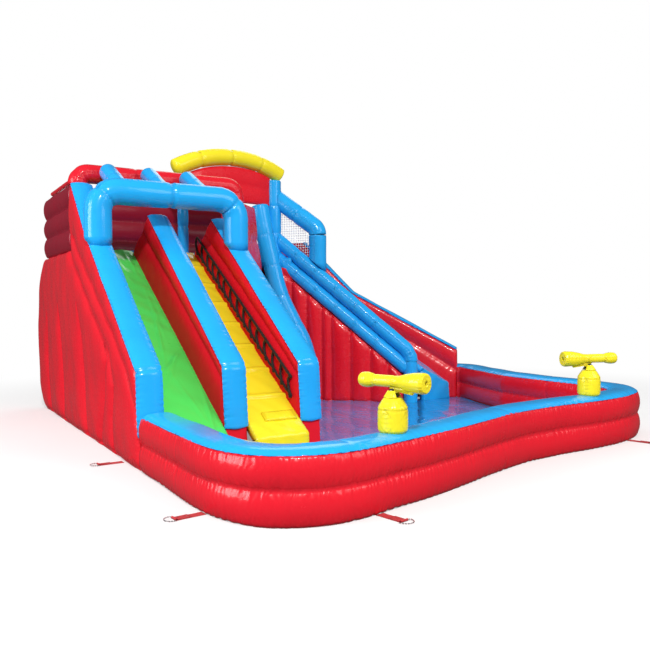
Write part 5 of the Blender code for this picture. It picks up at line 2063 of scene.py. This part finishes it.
    def guard(self) -> None:
        """The tube frame with its net."""
        mid = self.wall / 2
        start, run = -self.post_run + 0.09 + CLEAR, -self.frame_run
        half = self.frame_tube / 2
        slope = (self.frame_top - self.frame_end) / (run - start)
        tilt = math.cos(math.atan(slope))
        seat = self.rail_top(run) + 0.0006
        corners = [side_point(start, mid, self.frame_top - half / tilt),
                   side_point(run, mid, self.frame_end - half / tilt), side_point(run, mid, seat)]
        path = rounded(corners, self.frame_tube * 3 / 5, 12)
        tube = Tube(path, self.frame_tube, ring_welds=(0.42,), line_welds=(math.pi * 0.92, 0.0),
                    start_face=(side_point(start, mid), DOWN),
                    end_face=(side_point(run, mid, seat), unit(DOWN * self.slope + UP)),
                    pitch=0.06, neck=0.012, seed=191)
        dress(tube.build("guard_frame_tube"), Finish.BLUE, "side_frame")
        near, end = start + 0.001, run - half - 0.001
        s, share = np.meshgrid(np.linspace(near, end, 30), np.linspace(0, 1, 26), indexing="ij")
        low = self.end_top - self.slope * s + 0.001
        high = self.frame_top - (s - start) * slope - self.frame_tube / tilt - 0.002
        high = np.minimum(high, high[-1:, :] + (end - s) * 1.6 - 0.06)
        z = low + (high - low) * share
        bow = 0.010 * np.sin((s - near) / (end - near) * np.pi) * np.sin(share * np.pi)
        grid = (SIDE_END + DOWN * s[..., None] + ACROSS * (mid + 0.006 + bow)[..., None]
                + UP * z[..., None])
        cloth = net_object("window_netting", grid, s, z)
        dress(cloth, Finish.NET, "side_net_window")

    def column(self) -> None:
        """The column that leans beside the frame."""
        shares = ((-0.806, 1.018), (-0.781, 0.882), (-0.742, 0.708), (-0.699, 0.549), (-0.642, 0.428),
                  (-0.584, 0.318), (-0.549, 0.202), (-0.538, 0.087), (-0.538, 0.000))
        controls = [side_point(a * self.column_top, -self.column_tube / 2 - CLEAR, b * self.column_top)
                    for a, b in shares]
        path = curve_through(controls, 6)
        tube = Tube(path, self.column_tube, ACROSS.copy(), ring_welds=tuple(np.arange(0.55, 3.4, 0.55)),
                    line_welds=(math.pi * 0.28, math.pi * 1.25), end_face=(np.array([0, 0, 0.013]), UP),
                    sides=60, pitch=0.055, seam=Seam.DEEP, neck=0.004, dome=(0.05, 0.0), seed=197)
        dress(tube.build("leaning_column_tube"), Finish.BLUE, "leaning_column")

    def build(self) -> None:
        """Builds and places the second slide."""
        self.rails()
        dress(self.bed(), Finish.BLUE, "side_slide_bed")
        self.walls()
        self.guard()
        self.column()


# ---------------------------------------------------------------- cannons, anchors and air fittings


def joint_named(name: str) -> dict:
    """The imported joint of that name."""
    return next(j for j in frame["joints"] if j["name"] == name)


def turned(profile: list[Point], origin: Array, axis: Array, side: Array, count: int = 56) -> Array:
    """Rings of a round solid.

    Args:
        profile: Points of (place along the axis, radius).
        origin: Where the axis starts.
        axis: Direction of the axis.
        side: A direction square to it.
        count: Points in each ring.

    Returns:
        The rings.
    """
    rows = np.asarray(profile, float)
    other = np.cross(axis, side)
    turn = 2 * np.pi * np.arange(count) / count
    round_way = side * np.cos(turn)[:, None] + other * np.sin(turn)[:, None]
    return origin + axis * rows[:, None, :1] + round_way[None] * rows[:, None, 1:]


def softened(profile: list[Point], step: float, passes: int = 2) -> list[Point]:
    """A profile cut into short steps with its corners rounded off.

    Args:
        profile: Its points.
        step: Length of a step.
        passes: Passes of smoothing.

    Returns:
        The new points.
    """
    line = np.array([(a, b, 0.0) for a, b in profile])
    points = evenly(line, step)[0]
    for _ in range(passes):
        inner = (points[:-2] + 2 * points[1:-1] + points[2:]) / 4
        points[1:-1] = inner
    return [(float(p[0]), max(float(p[1]), 0.001)) for p in points]


def around_pulls(grid: Array, origin: Array, axis: Array, welds: list[float], panels: int,
                 depth: float, seed: int) -> tuple[Array, Array, Array]:
    """Gathers a turned solid at rings and at upright panel seams.

    Args:
        grid: Its rings.
        origin: Where its axis starts.
        axis: Direction of its axis.
        welds: Places along the axis of the ring welds.
        panels: Number of seams that run along it.
        depth: Depth of the folds.
        seed: Chooses the irregularity.

    Returns:
        The new rings, the distance to the nearest weld and the run along it.
    """
    off = grid - origin
    along = off @ axis
    flat = off - along[..., None] * axis
    radius = np.linalg.norm(flat, axis=-1)
    turn = np.broadcast_to(2 * np.pi * np.arange(grid.shape[1]) / grid.shape[1], radius.shape)
    away = np.full(radius.shape, NOT_NEAR)
    run = np.zeros(radius.shape)
    pull = np.zeros(radius.shape)
    for i, weld in enumerate(welds):
        gap = np.abs(along - weld)
        pull += 0.004 * np.exp(-((gap / 0.008) ** 1.3))
        pull += puckers(turn * 0.12, gap, 0.035, depth, 0.035, seed + 5 * i)
        run = np.where(gap < away, turn * 0.12, run)
        away = np.minimum(away, gap)
    for i in range(panels):
        middle = 2 * np.pi * (i + 0.3) / panels
        gap = np.abs((turn - middle + np.pi) % (2 * np.pi) - np.pi) * radius
        pull += (0.002 * np.exp(-((gap / 0.006) ** 1.3))
                 + puckers(along, gap, 0.04, depth * 0.7, 0.03, seed + 41 + i))
        run = np.where(gap < away, along, run)
        away = np.minimum(away, gap)
    pull = np.minimum(pull, radius * 0.4)
    return grid - unit(flat) * pull[..., None], away, run


@dataclass
class Cannon:
    """One yellow water cannon: a padded pillar, its moulded swivel and the padded barrel."""

    number: int
    foot: float = 0.6003
    pillar_high: float = 0.30
    pillar_radius: float = 0.131
    half: float = 0.34
    lift: float = 0.085

    def place(self) -> tuple[Array, Array, Array]:
        """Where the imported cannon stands.

        Returns:
            The foot's site point, the muzzle's direction and the pin's site point.
        """
        turn, tilt = joint_named(f"cannon_{self.number}_yaw"), joint_named(f"cannon_{self.number}_pitch")
        pivot = np.array(turn["pos_m"]) - SHIFT
        pin = np.array(tilt["pos_m"]) - SHIFT
        axis = unit(np.array(tilt["axis"], float))
        return np.array([*pivot[:2], self.foot]), np.array([axis[1], -axis[0], 0.0]), pin

    def pillar(self, foot: Array) -> Object:
        """The pillar: a padded drum with a cone on it.

        Args:
            foot: The foot's site point.

        Returns:
            The object.
        """
        r = self.pillar_radius
        top = self.pillar_high - 0.006
        profile = [(-0.010, 0.05), (-0.010, r * 0.86), (0.012, r * 0.98), (0.07, r), (0.16, r),
                   (0.210, r * 0.985), (0.232, 0.117), (0.262, 0.098), (top - 0.003, 0.0795),
                   (top, 0.076), (top, 0.020)]
        grid = turned(softened(profile, 0.006, 5), foot, UP, X, 72)
        grid, away, run = around_pulls(grid, foot, UP, [0.0, 0.19], 4, 0.006, 201 + 10 * self.number)
        grid[-1] = turned([(top, 0.020)], foot, UP, X, 72)[0]
        return ring_object(f"cannon_{self.number}_drum", grid, away, run)

    def barrel(self, way: Array, pin: Array) -> Object:
        """The barrel, slim behind and wide at the muzzle, with a nozzle in its flat end.

        Args:
            way: The muzzle's direction.
            pin: The pin's site point.

        Returns:
            The object.
        """
        h = self.half
        middle = pin + UP * self.lift
        profile = [(-h, 0.004), (-h, 0.050), (-h + 0.02, 0.064), (-h + 0.075, 0.069), (-h + 0.125, 0.060),
                   (-h + 0.150, 0.052), (-0.08, 0.0515), (0.07, 0.0520), (0.14, 0.072), (0.22, 0.086),
                   (h - 0.03, 0.0915), (h - 0.008, 0.0900), (h, 0.080), (h - 0.004, 0.050), (h, 0.030),
                   (h, 0.022), (h - 0.10, 0.019), (h - 0.11, 0.004)]
        grid = turned(softened(profile, 0.007, 3), middle, way, UP, 72)
        grid, away, run = around_pulls(grid, middle, way, [-h + 0.150, h - 0.015, 0.02], 3, 0.006,
                                       221 + 10 * self.number)
        return ring_object(f"cannon_{self.number}_tube", grid, away, run)

    def skirt(self, foot: Array, way: Array) -> Object:
        """The slit cover round the swivel, from the pillar's cone up to the barrel.

        Args:
            foot: The foot's site point.
            way: The muzzle's direction.

        Returns:
            The object.
        """
        side = np.cross(UP, way)
        count, slit = 60, math.radians(30)
        turn = np.linspace(slit, 2 * math.pi - slit, count)
        spoke = way * np.cos(turn)[:, None] + side * np.sin(turn)[:, None]
        outer = [(0.296, 0.0765), (0.301, 0.0745), (0.318, 0.0635), (0.335, 0.0525), (0.350, 0.0435),
                 (0.353, 0.0405)]
        rows = outer + [(z, r - 0.004) for z, r in reversed(outer)]
        wave = 0.0018 * waves(turn * 0.06, 0.03, 251)
        grid = np.array([foot + UP * z + spoke * (r + wave)[:, None] for z, r in rows]).transpose(1, 0, 2)
        return plain_rings(f"cannon_{self.number}_skirt", grid, 0.03)

    def web(self, way: Array, pin: Array) -> Object:
        """The doubled gusset under the barrel, with the fin that the pin goes through.

        Args:
            way: The muzzle's direction.
            pin: The pin's site point.

        Returns:
            The object.
        """
        corners = [(-0.034, 0.036), (0.25, 0.030), (0.20, -0.020), (0.06, -0.002), (0.018, -0.014),
                   (-0.014, -0.014)]
        side = np.cross(UP, way)
        ring = np.array([pin + way * a + UP * b for a, b in along_edges(corners, 12)])
        centre = pin + way * 0.10
        half = [(-0.0085, 0.55), (-0.0085, 0.96), (-0.004, 1.0)]
        return plain_rings(f"cannon_{self.number}_gusset", np.array(
            [centre + (ring - centre) * share + side * off for off, share in half + mirrored(half)]))

    def pin(self, way: Array, pin: Array) -> Object:
        """The steel pin with its two heads.

        Args:
            way: The muzzle's direction.
            pin: The pin's site point.

        Returns:
            The object.
        """
        side = np.cross(UP, way)
        head = [(-0.031, 0.002), (-0.031, 0.0105), (-0.028, 0.0125), (-0.0252, 0.0125), (-0.0248, 0.0078)]
        grid = turned(head + mirrored(head), pin, side, UP, 32)
        return plain_rings(f"cannon_{self.number}_pin", grid, NOT_NEAR)

    def build(self) -> None:
        """Builds and places the cannon."""
        foot, way, pin = self.place()
        turret, gun = f"cannon_{self.number}_turret", f"cannon_{self.number}_gun"
        dress(self.pillar(foot), Finish.YELLOW, f"cannon_{self.number}_pillar")
        dress(self.barrel(way, pin), Finish.YELLOW, f"cannon_{self.number}_barrel", body=gun)
        dress(self.skirt(foot, way), Finish.YELLOW, body=turret)
        dress(self.web(way, pin), Finish.YELLOW, body=gun)
        dress(self.pin(way, pin), Finish.STEEL, body=gun)
        carry(f"cannon_{self.number}_swivel", Finish.PLASTIC)
        log.info("%s turns on its pillar", turret)


def carry(node: str, finish: Finish) -> None:
    """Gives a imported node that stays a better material.

    Args:
        node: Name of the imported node.
        finish: Its finish.
    """
    kept = frame["nodes"][node]
    if not kept.material_slots:
        kept.data.materials.append(material_of(finish))
    kept.material_slots[0].material = material_of(finish)
    log.info("%s: carried over", node)


@dataclass
class Anchor:
    """One webbing strap at the foot of the slide, folded round its steel ring and stitched."""

    number: int
    long: float = 0.26
    wide: float = 0.085
    thick: float = 0.006
    layer: float = 0.0042
    eye: float = 0.010

    def place(self) -> tuple[Array, Array, Array]:
        """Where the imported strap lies.

        Returns:
            The hinge's site point, the outward direction and the direction across the strap.
        """
        joint = joint_named(f"anchor_{self.number}_lift")
        side = -unit(np.array(joint["axis"], float))
        return np.array(joint["pos_m"]) - SHIFT, np.array([side[1], -side[0], 0.0]), side

    def strap(self, at: Array, out: Array, side: Array) -> Object:
        """The strap: one layer out to the ring, round it and back for a hand's width.

        Args:
            at: The hinge's site point.
            out: The outward direction.
            side: The direction across the strap.

        Returns:
            The object.
        """
        r, t = self.eye, self.layer
        line = [np.array([x, -self.thick + 0.0004 + t / 2]) for x in np.linspace(0.0, self.long - r, 30)]
        middle = np.array([self.long, -self.thick + r])
        round_r = r - t / 2
        line += [middle + round_r * np.array([math.cos(a), math.sin(a)])
                 for a in np.linspace(-math.pi / 2 + 0.1, math.pi * 0.78, 16)]
        line += [np.array([x, -self.thick + 0.0008 + t * 1.5])
                 for x in np.linspace(self.long - 2.2 * r, self.long - 0.13, 12)]
        line = np.array(line)
        way = unit(np.gradient(line, axis=0))
        square = np.stack([-way[:, 1], way[:, 0]], 1)
        under = [(-1, -0.5), (-0.97, -1), (-0.5, -1), (0, -1), (0.5, -1), (0.97, -1), (1, -0.5)]
        section = [(a * self.wide / 2, b * t / 2)
                   for a, b in under + [(a, -b) for a, b in reversed(under)]]
        grid = []
        for i, (point, normal) in enumerate(zip(line, square)):
            taper = 1.0 if i > 4 else 1.0 + 0.10 * (4 - i) / 4
            grid.append([at + out * (point[0] + normal[0] * b) + UP * (point[1] + normal[1] * b)
                         + side * a * taper for a, b in section])
        grid = np.array(grid)
        grid[..., 2] = np.maximum(grid[..., 2], 0.0003)
        return plain_rings(f"anchor_{self.number}_webbing", grid, axis=0)

    def stitches(self, at: Array, out: Array, side: Array) -> Object:
        """The box of stitches that holds the strap's fold.

        Args:
            at: The hinge's site point.
            out: The outward direction.
            side: The direction across the strap.

        Returns:
            The object.
        """
        verts, faces = [], []
        z = -self.thick + 0.0008 + self.layer * 2 + 0.0001

        def stitch(a: Array, b: Array) -> None:
            """Adds one raised stitch between two points of the strap.

            Args:
                a: Its start on the strap.
                b: Its end.
            """
            way = unit(b - a)
            square = np.array([-way[1], way[0]]) * 0.0011
            base = len(verts)
            for point, high in ((a - square, z), (a + square, z), (b - square, z), (b + square, z),
                                ((a + b) / 2, z + 0.0014)):
                verts.append(at + out * point[0] + side * point[1] + UP * high)
            top = base + 4
            faces.extend([(base, base + 1, top), (base + 1, base + 3, top), (base + 3, base + 2, top),
                          (base + 2, base, top), (base, base + 2, base + 3, base + 1)])

        x0, x1, half = self.long - 0.122, self.long - 0.034, self.wide / 2 - 0.009
        corners = [(x0, -half), (x1, -half), (x1, half), (x0, half), (x0, -half), (x1, half)]
        lines = list(zip(corners, corners[1:])) + [((x0, half), (x1, -half))]
        for a, b in (np.array(ends) for ends in lines):
            count = max(2, int(math.hypot(*(b - a)) / 0.0075))
            for i in range(count):
                stitch(a + (b - a) * (i / count), a + (b - a) * ((i + 0.66) / count))
        return new_object(f"anchor_{self.number}_stitches", np.array(verts), faces)

    def ring(self) -> Object:
        """The ring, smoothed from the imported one.

        Returns:
            The object.
        """
        node = frame["nodes"][f"anchor_{self.number}_ring"]
        made = linked(f"anchor_{self.number}_steel_ring", node.data.copy())
        made.data.materials.clear()
        smooth = made.modifiers.new("Round wire", "SUBSURF")
        smooth.levels = smooth.render_levels = 2
        made.data.shade_smooth()
        return made

    def build(self) -> None:
        """Builds and places the strap, its stitches and its ring."""
        at, out, side = self.place()
        web, ring = f"anchor_{self.number}_web", f"anchor_{self.number}_loop"
        dress(self.strap(at, out, side), Finish.STRAP, f"anchor_{self.number}_strap", body=web)
        dress(self.stitches(at, out, side), Finish.ROPE, body=web)
        dress(self.ring(), Finish.STEEL, f"anchor_{self.number}_ring", body=ring)


@dataclass
class AirFittings:
    """The blower's sleeve and the deflation flap on the rear wall."""

    across: float = 0.28
    skin: float = 0.010
    long: float = 0.50
    tie_place: float = 0.40
    place: float = 0.95
    height: float = 0.45
    back: float = BACK
    flap_place: float = 2.30
    flap_side: float = 0.34
    flap_height: float = 0.62

    def sleeve(self) -> Object:
        """The slack sleeve, wrinkled along its length, open at both ends.

        Returns:
            The object.
        """
        count, rows = 88, 46
        turn = 2 * np.pi * np.arange(count) / count
        runs, turns = np.meshgrid(np.linspace(0, self.long, rows), turn, indexing="ij")
        round_it = turns * self.across / 2
        fold = 0.010 * waves(round_it, 0.12, 301) * np.clip(runs / 0.12, 0, 1)
        fold -= puckers(round_it, np.abs(runs - self.tie_place), 0.035, 0.014, 0.07, 303)
        fold -= 0.004 * (1 + np.sin(runs * 70 + 3 * np.sin(turns * 2))) * np.clip(runs / 0.2, 0, 1)
        outer = self.across / 2 - 0.004 + np.clip(fold, -0.03, 0.004)
        inner = outer - self.skin * 0.8
        centre = np.array([self.place, self.back + 0.0003, self.height])
        spoke = X * np.cos(turns)[..., None] + UP * np.sin(turns)[..., None]
        shells = [centre + Y * runs[..., None] + spoke * r[..., None] for r in (outer, inner)]
        verts = np.vstack([s.reshape(-1, 3) for s in shells])
        faces = ring_faces(rows, count) + ring_faces(rows, count, rows * count)
        for row in (0, rows - 1):
            for k in range(count):
                j = (k + 1) % count
                a, b = row * count + k, row * count + j
                faces.append((a, b, b + rows * count, a + rows * count))
        away = np.abs(np.tile(runs.ravel(), 2) - self.tie_place)
        return new_object("air_sleeve_cloth", verts, faces,
                          {"weld_away": away, "weld_run": np.tile(round_it.ravel(), 2)})

    def tie(self) -> Object:
        """The webbing tie round the sleeve.

        Returns:
            The object.
        """
        centre = np.array([self.place, self.back + self.tie_place, self.height])
        radius = self.across / 2 - 0.004
        section = [(-0.014, 0.0), (-0.012, 0.003), (0.012, 0.003), (0.014, 0.0), (0.012, -0.003),
                   (-0.012, -0.003)]
        turns = [2 * math.pi * i / 96 for i in range(96)]
        grid = np.array([[centre + (X * math.cos(a) + UP * math.sin(a)) * (radius + lift) + Y * off
                          for off, lift in section] for a in turns])
        return new_object("air_sleeve_tie", grid.reshape(-1, 3), loop_faces(*grid.shape[:2]))

    def flap(self) -> tuple[Object, Object]:
        """The flap with a welded border, and the hook-and-loop strip round its edge.

        Returns:
            The flap and the strip.
        """
        half, top = self.flap_side / 2, self.flap_height + self.flap_side / 2
        at_y = self.back + 0.0053
        low = top - self.flap_side
        corners = [(-half, top), (half, top), (half, low + self.flap_side / 5), (0, low),
                   (-half, low + self.flap_side / 5)]
        ring = np.array([[self.flap_place + x, at_y, z] for x, z in along_edges(corners, 16)])
        centre = np.array([self.flap_place, at_y, (top + low) / 2])

        def rings(steps: Array) -> Array:
            """The outline at each step's offset and share of its size."""
            return np.array([centre + (ring - centre) * share + Y * off for off, share in steps])

        cloth = np.array([(-0.0048, 0.5), (-0.0048, 0.985), (0.0, 1.0), (0.0045, 0.985),
                          (0.0052, 0.93), (0.0028, 0.90), (0.0058, 0.84), (0.0065, 0.4)])
        grid = rings(cloth)
        away = np.repeat(np.abs(cloth[:, 1:] - 0.90) * 0.2, len(ring), 1)
        flap = ring_object("deflation_flap_cloth", grid, away, grid[..., 0])
        strip = np.array([(0.0046, 0.982), (0.0066, 0.975), (0.0066, 0.945), (0.0050, 0.938)])
        rows = rings(strip).transpose(1, 0, 2)
        return flap, new_object("deflation_flap_strip", rows.reshape(-1, 3), loop_faces(*rows.shape[:2]))

    def build(self) -> None:
        """Builds and places the fittings."""
        dress(self.sleeve(), Finish.RED, "air_sleeve")
        dress(self.tie(), Finish.ROPE)
        flap, strip = self.flap()
        dress(flap, Finish.RED, "deflation_flap", body="flap")
        dress(strip, Finish.ROPE, body="flap")


# ---------------------------------------------------------------- camera, light and floor


@dataclass(frozen=True)
class Studio:
    """The camera at the photograph's angle, plain soft light and a pale floor."""

    eye: Place = (-2.046, -5.566, 1.7)
    aim: Place = (2.6, 1.8, 1.2)
    yaw: float = 31.609
    pitch: float = 1.771
    roll: float = -0.391
    lens: float = 38.50

    def camera(self) -> None:
        """Makes the camera."""
        y, p, r = (math.radians(v) for v in (self.yaw, self.pitch, self.roll))
        forward = np.array([math.sin(y) * math.cos(p), math.cos(y) * math.cos(p), -math.sin(p)])
        right = np.array([math.cos(y), -math.sin(y), 0.0])
        up = np.cross(right, forward)
        wide = right * math.cos(r) + up * math.sin(r)
        tall = -right * math.sin(r) + up * math.cos(r)
        data = bpy.data.cameras.new("photo_camera")
        data.sensor_width = 36.0
        data.lens = self.lens
        data.clip_end = 200.0
        made = linked("photo_camera", data)
        turn = Matrix([wide, tall, -forward]).transposed().to_4x4()
        made.matrix_world = Matrix.Translation(Vector(np.array(self.eye) + SHIFT)) @ turn
        bpy.context.scene.camera = made

    def lamp(self, name: str, at: Place, size: float, power: float, colour: Colour,
             shine: float) -> None:
        """Makes a square lamp that faces the middle of the slide.

        Args:
            name: Name of the lamp.
            at: Its site point.
            size: Length of its side.
            power: Its watts.
            colour: Its colour.
            shine: Its share of the reflections.
        """
        data = bpy.data.lights.new(name, "AREA")
        data.shape = "SQUARE"
        data.size, data.energy, data.color, data.specular_factor = size, power, colour, shine
        made = linked(name, data)
        place = np.array(at) + SHIFT
        way = Vector(np.array(self.aim) + SHIFT - place)
        made.location = place
        made.rotation_mode = "QUATERNION"
        made.rotation_quaternion = way.to_track_quat("-Z", "Y")

    def light(self) -> None:
        """Makes the lamps and the world."""
        self.lamp("key_lamp", (-3.4, -11.5, 12.0), 1.0, 2120.0, (1.0, 0.985, 0.96), 1.0)
        self.lamp("fill_lamp", (-11.0, 3.0, 5.0), 7.0, 1150.0, (0.95, 0.97, 1.0), 0.05)
        self.lamp("front_lamp", (8.0, -9.0, 8.0), 7.0, 520.0, (1.0, 1.0, 1.0), 0.4)
        self.lamp("back_lamp", (8.0, 12.0, 10.0), 7.0, 250.0, (1.0, 1.0, 1.0), 0.3)
        world = bpy.data.worlds.new("pale_world")
        bpy.context.scene.world = world
        world.use_nodes = True
        g = Graph(world.node_tree)
        world.node_tree.nodes.clear()
        path = g.add("ShaderNodeLightPath")
        seen = g.times(path.outputs["Is Camera Ray"], 0.52)
        strong = g.plus(seen, g.maths("SUBTRACT", 0.48, g.times(path.outputs["Is Glossy Ray"], 0.41)))
        sky = g.add("ShaderNodeBackground", {"Color": (1, 1, 1, 1), "Strength": strong})
        g.add("ShaderNodeOutputWorld", {0: sky.outputs[0]})

    def floor(self) -> None:
        """Makes the pale floor, which runs out of sight."""
        grid = np.array([[x, y, -0.0006] for x, y in ((-40, -40), (50, -40), (50, 60), (-40, 60))])
        made = new_object("pale_floor", grid, [(0, 1, 2, 3)])
        paint, g, shader = new_material("pale_ground", (0.9, 0.9, 0.9))
        tone = g.mix(g.noise(0.6, 3.0), (0.93, 0.93, 0.93, 1), (0.90, 0.90, 0.90, 1))
        path = g.add("ShaderNodeLightPath")
        seen, mirrored_ray = path.outputs["Is Camera Ray"], path.outputs["Is Glossy Ray"]
        dim = g.mix(mirrored_ray, (0.30, 0.30, 0.30, 1), (0.10, 0.10, 0.10, 1))
        g.feed(shader, {"Base Color": g.mix(seen, dim, tone), "Roughness": 0.9,
                        "Specular IOR Level": 0.1})
        far = g.add("ShaderNodeVectorMath", {0: g.place()}, operation="LENGTH").outputs["Value"]
        feeds = {"Value": far, "From Min": 5.0, "From Max": 10.0, "To Min": 0.30}
        share = g.add("ShaderNodeMapRange", feeds, interpolation_type="SMOOTHSTEP").outputs[0]
        bright = g.plus(g.times(seen, 0.93), 0.07)
        glow = g.add("ShaderNodeEmission", {"Color": (1, 1, 1, 1), "Strength": bright})
        both = g.add("ShaderNodeMixShader", {0: share, 1: shader.outputs[0], 2: glow.outputs[0]})
        out = next(n for n in g.tree.nodes if n.type == "OUTPUT_MATERIAL")
        g.tree.links.new(both.outputs[0], out.inputs["Surface"])
        made.data.materials.append(paint)

    def build(self) -> None:
        """Builds the whole studio."""
        bpy.context.scene.view_settings.view_transform = "Standard"
        self.camera()
        self.light()
        self.floor()


def main() -> None:
    """Builds every part of the slide in order."""
    logging.basicConfig(level=logging.INFO, format="%(name)s: %(message)s")
    Studio().build()
    Pool().build()
    LaneWalls().build()
    Lanes().build()
    Tower().build()
    Roof().build()
    Crown().build()
    SideSlide().build()
    for number in (1, 2):
        Cannon(number).build()
    for number in (1, 2, 3, 4):
        Anchor(number).build()
    AirFittings().build()
    bpy.context.view_layer.update()


if __name__ == "__main__":
    main()
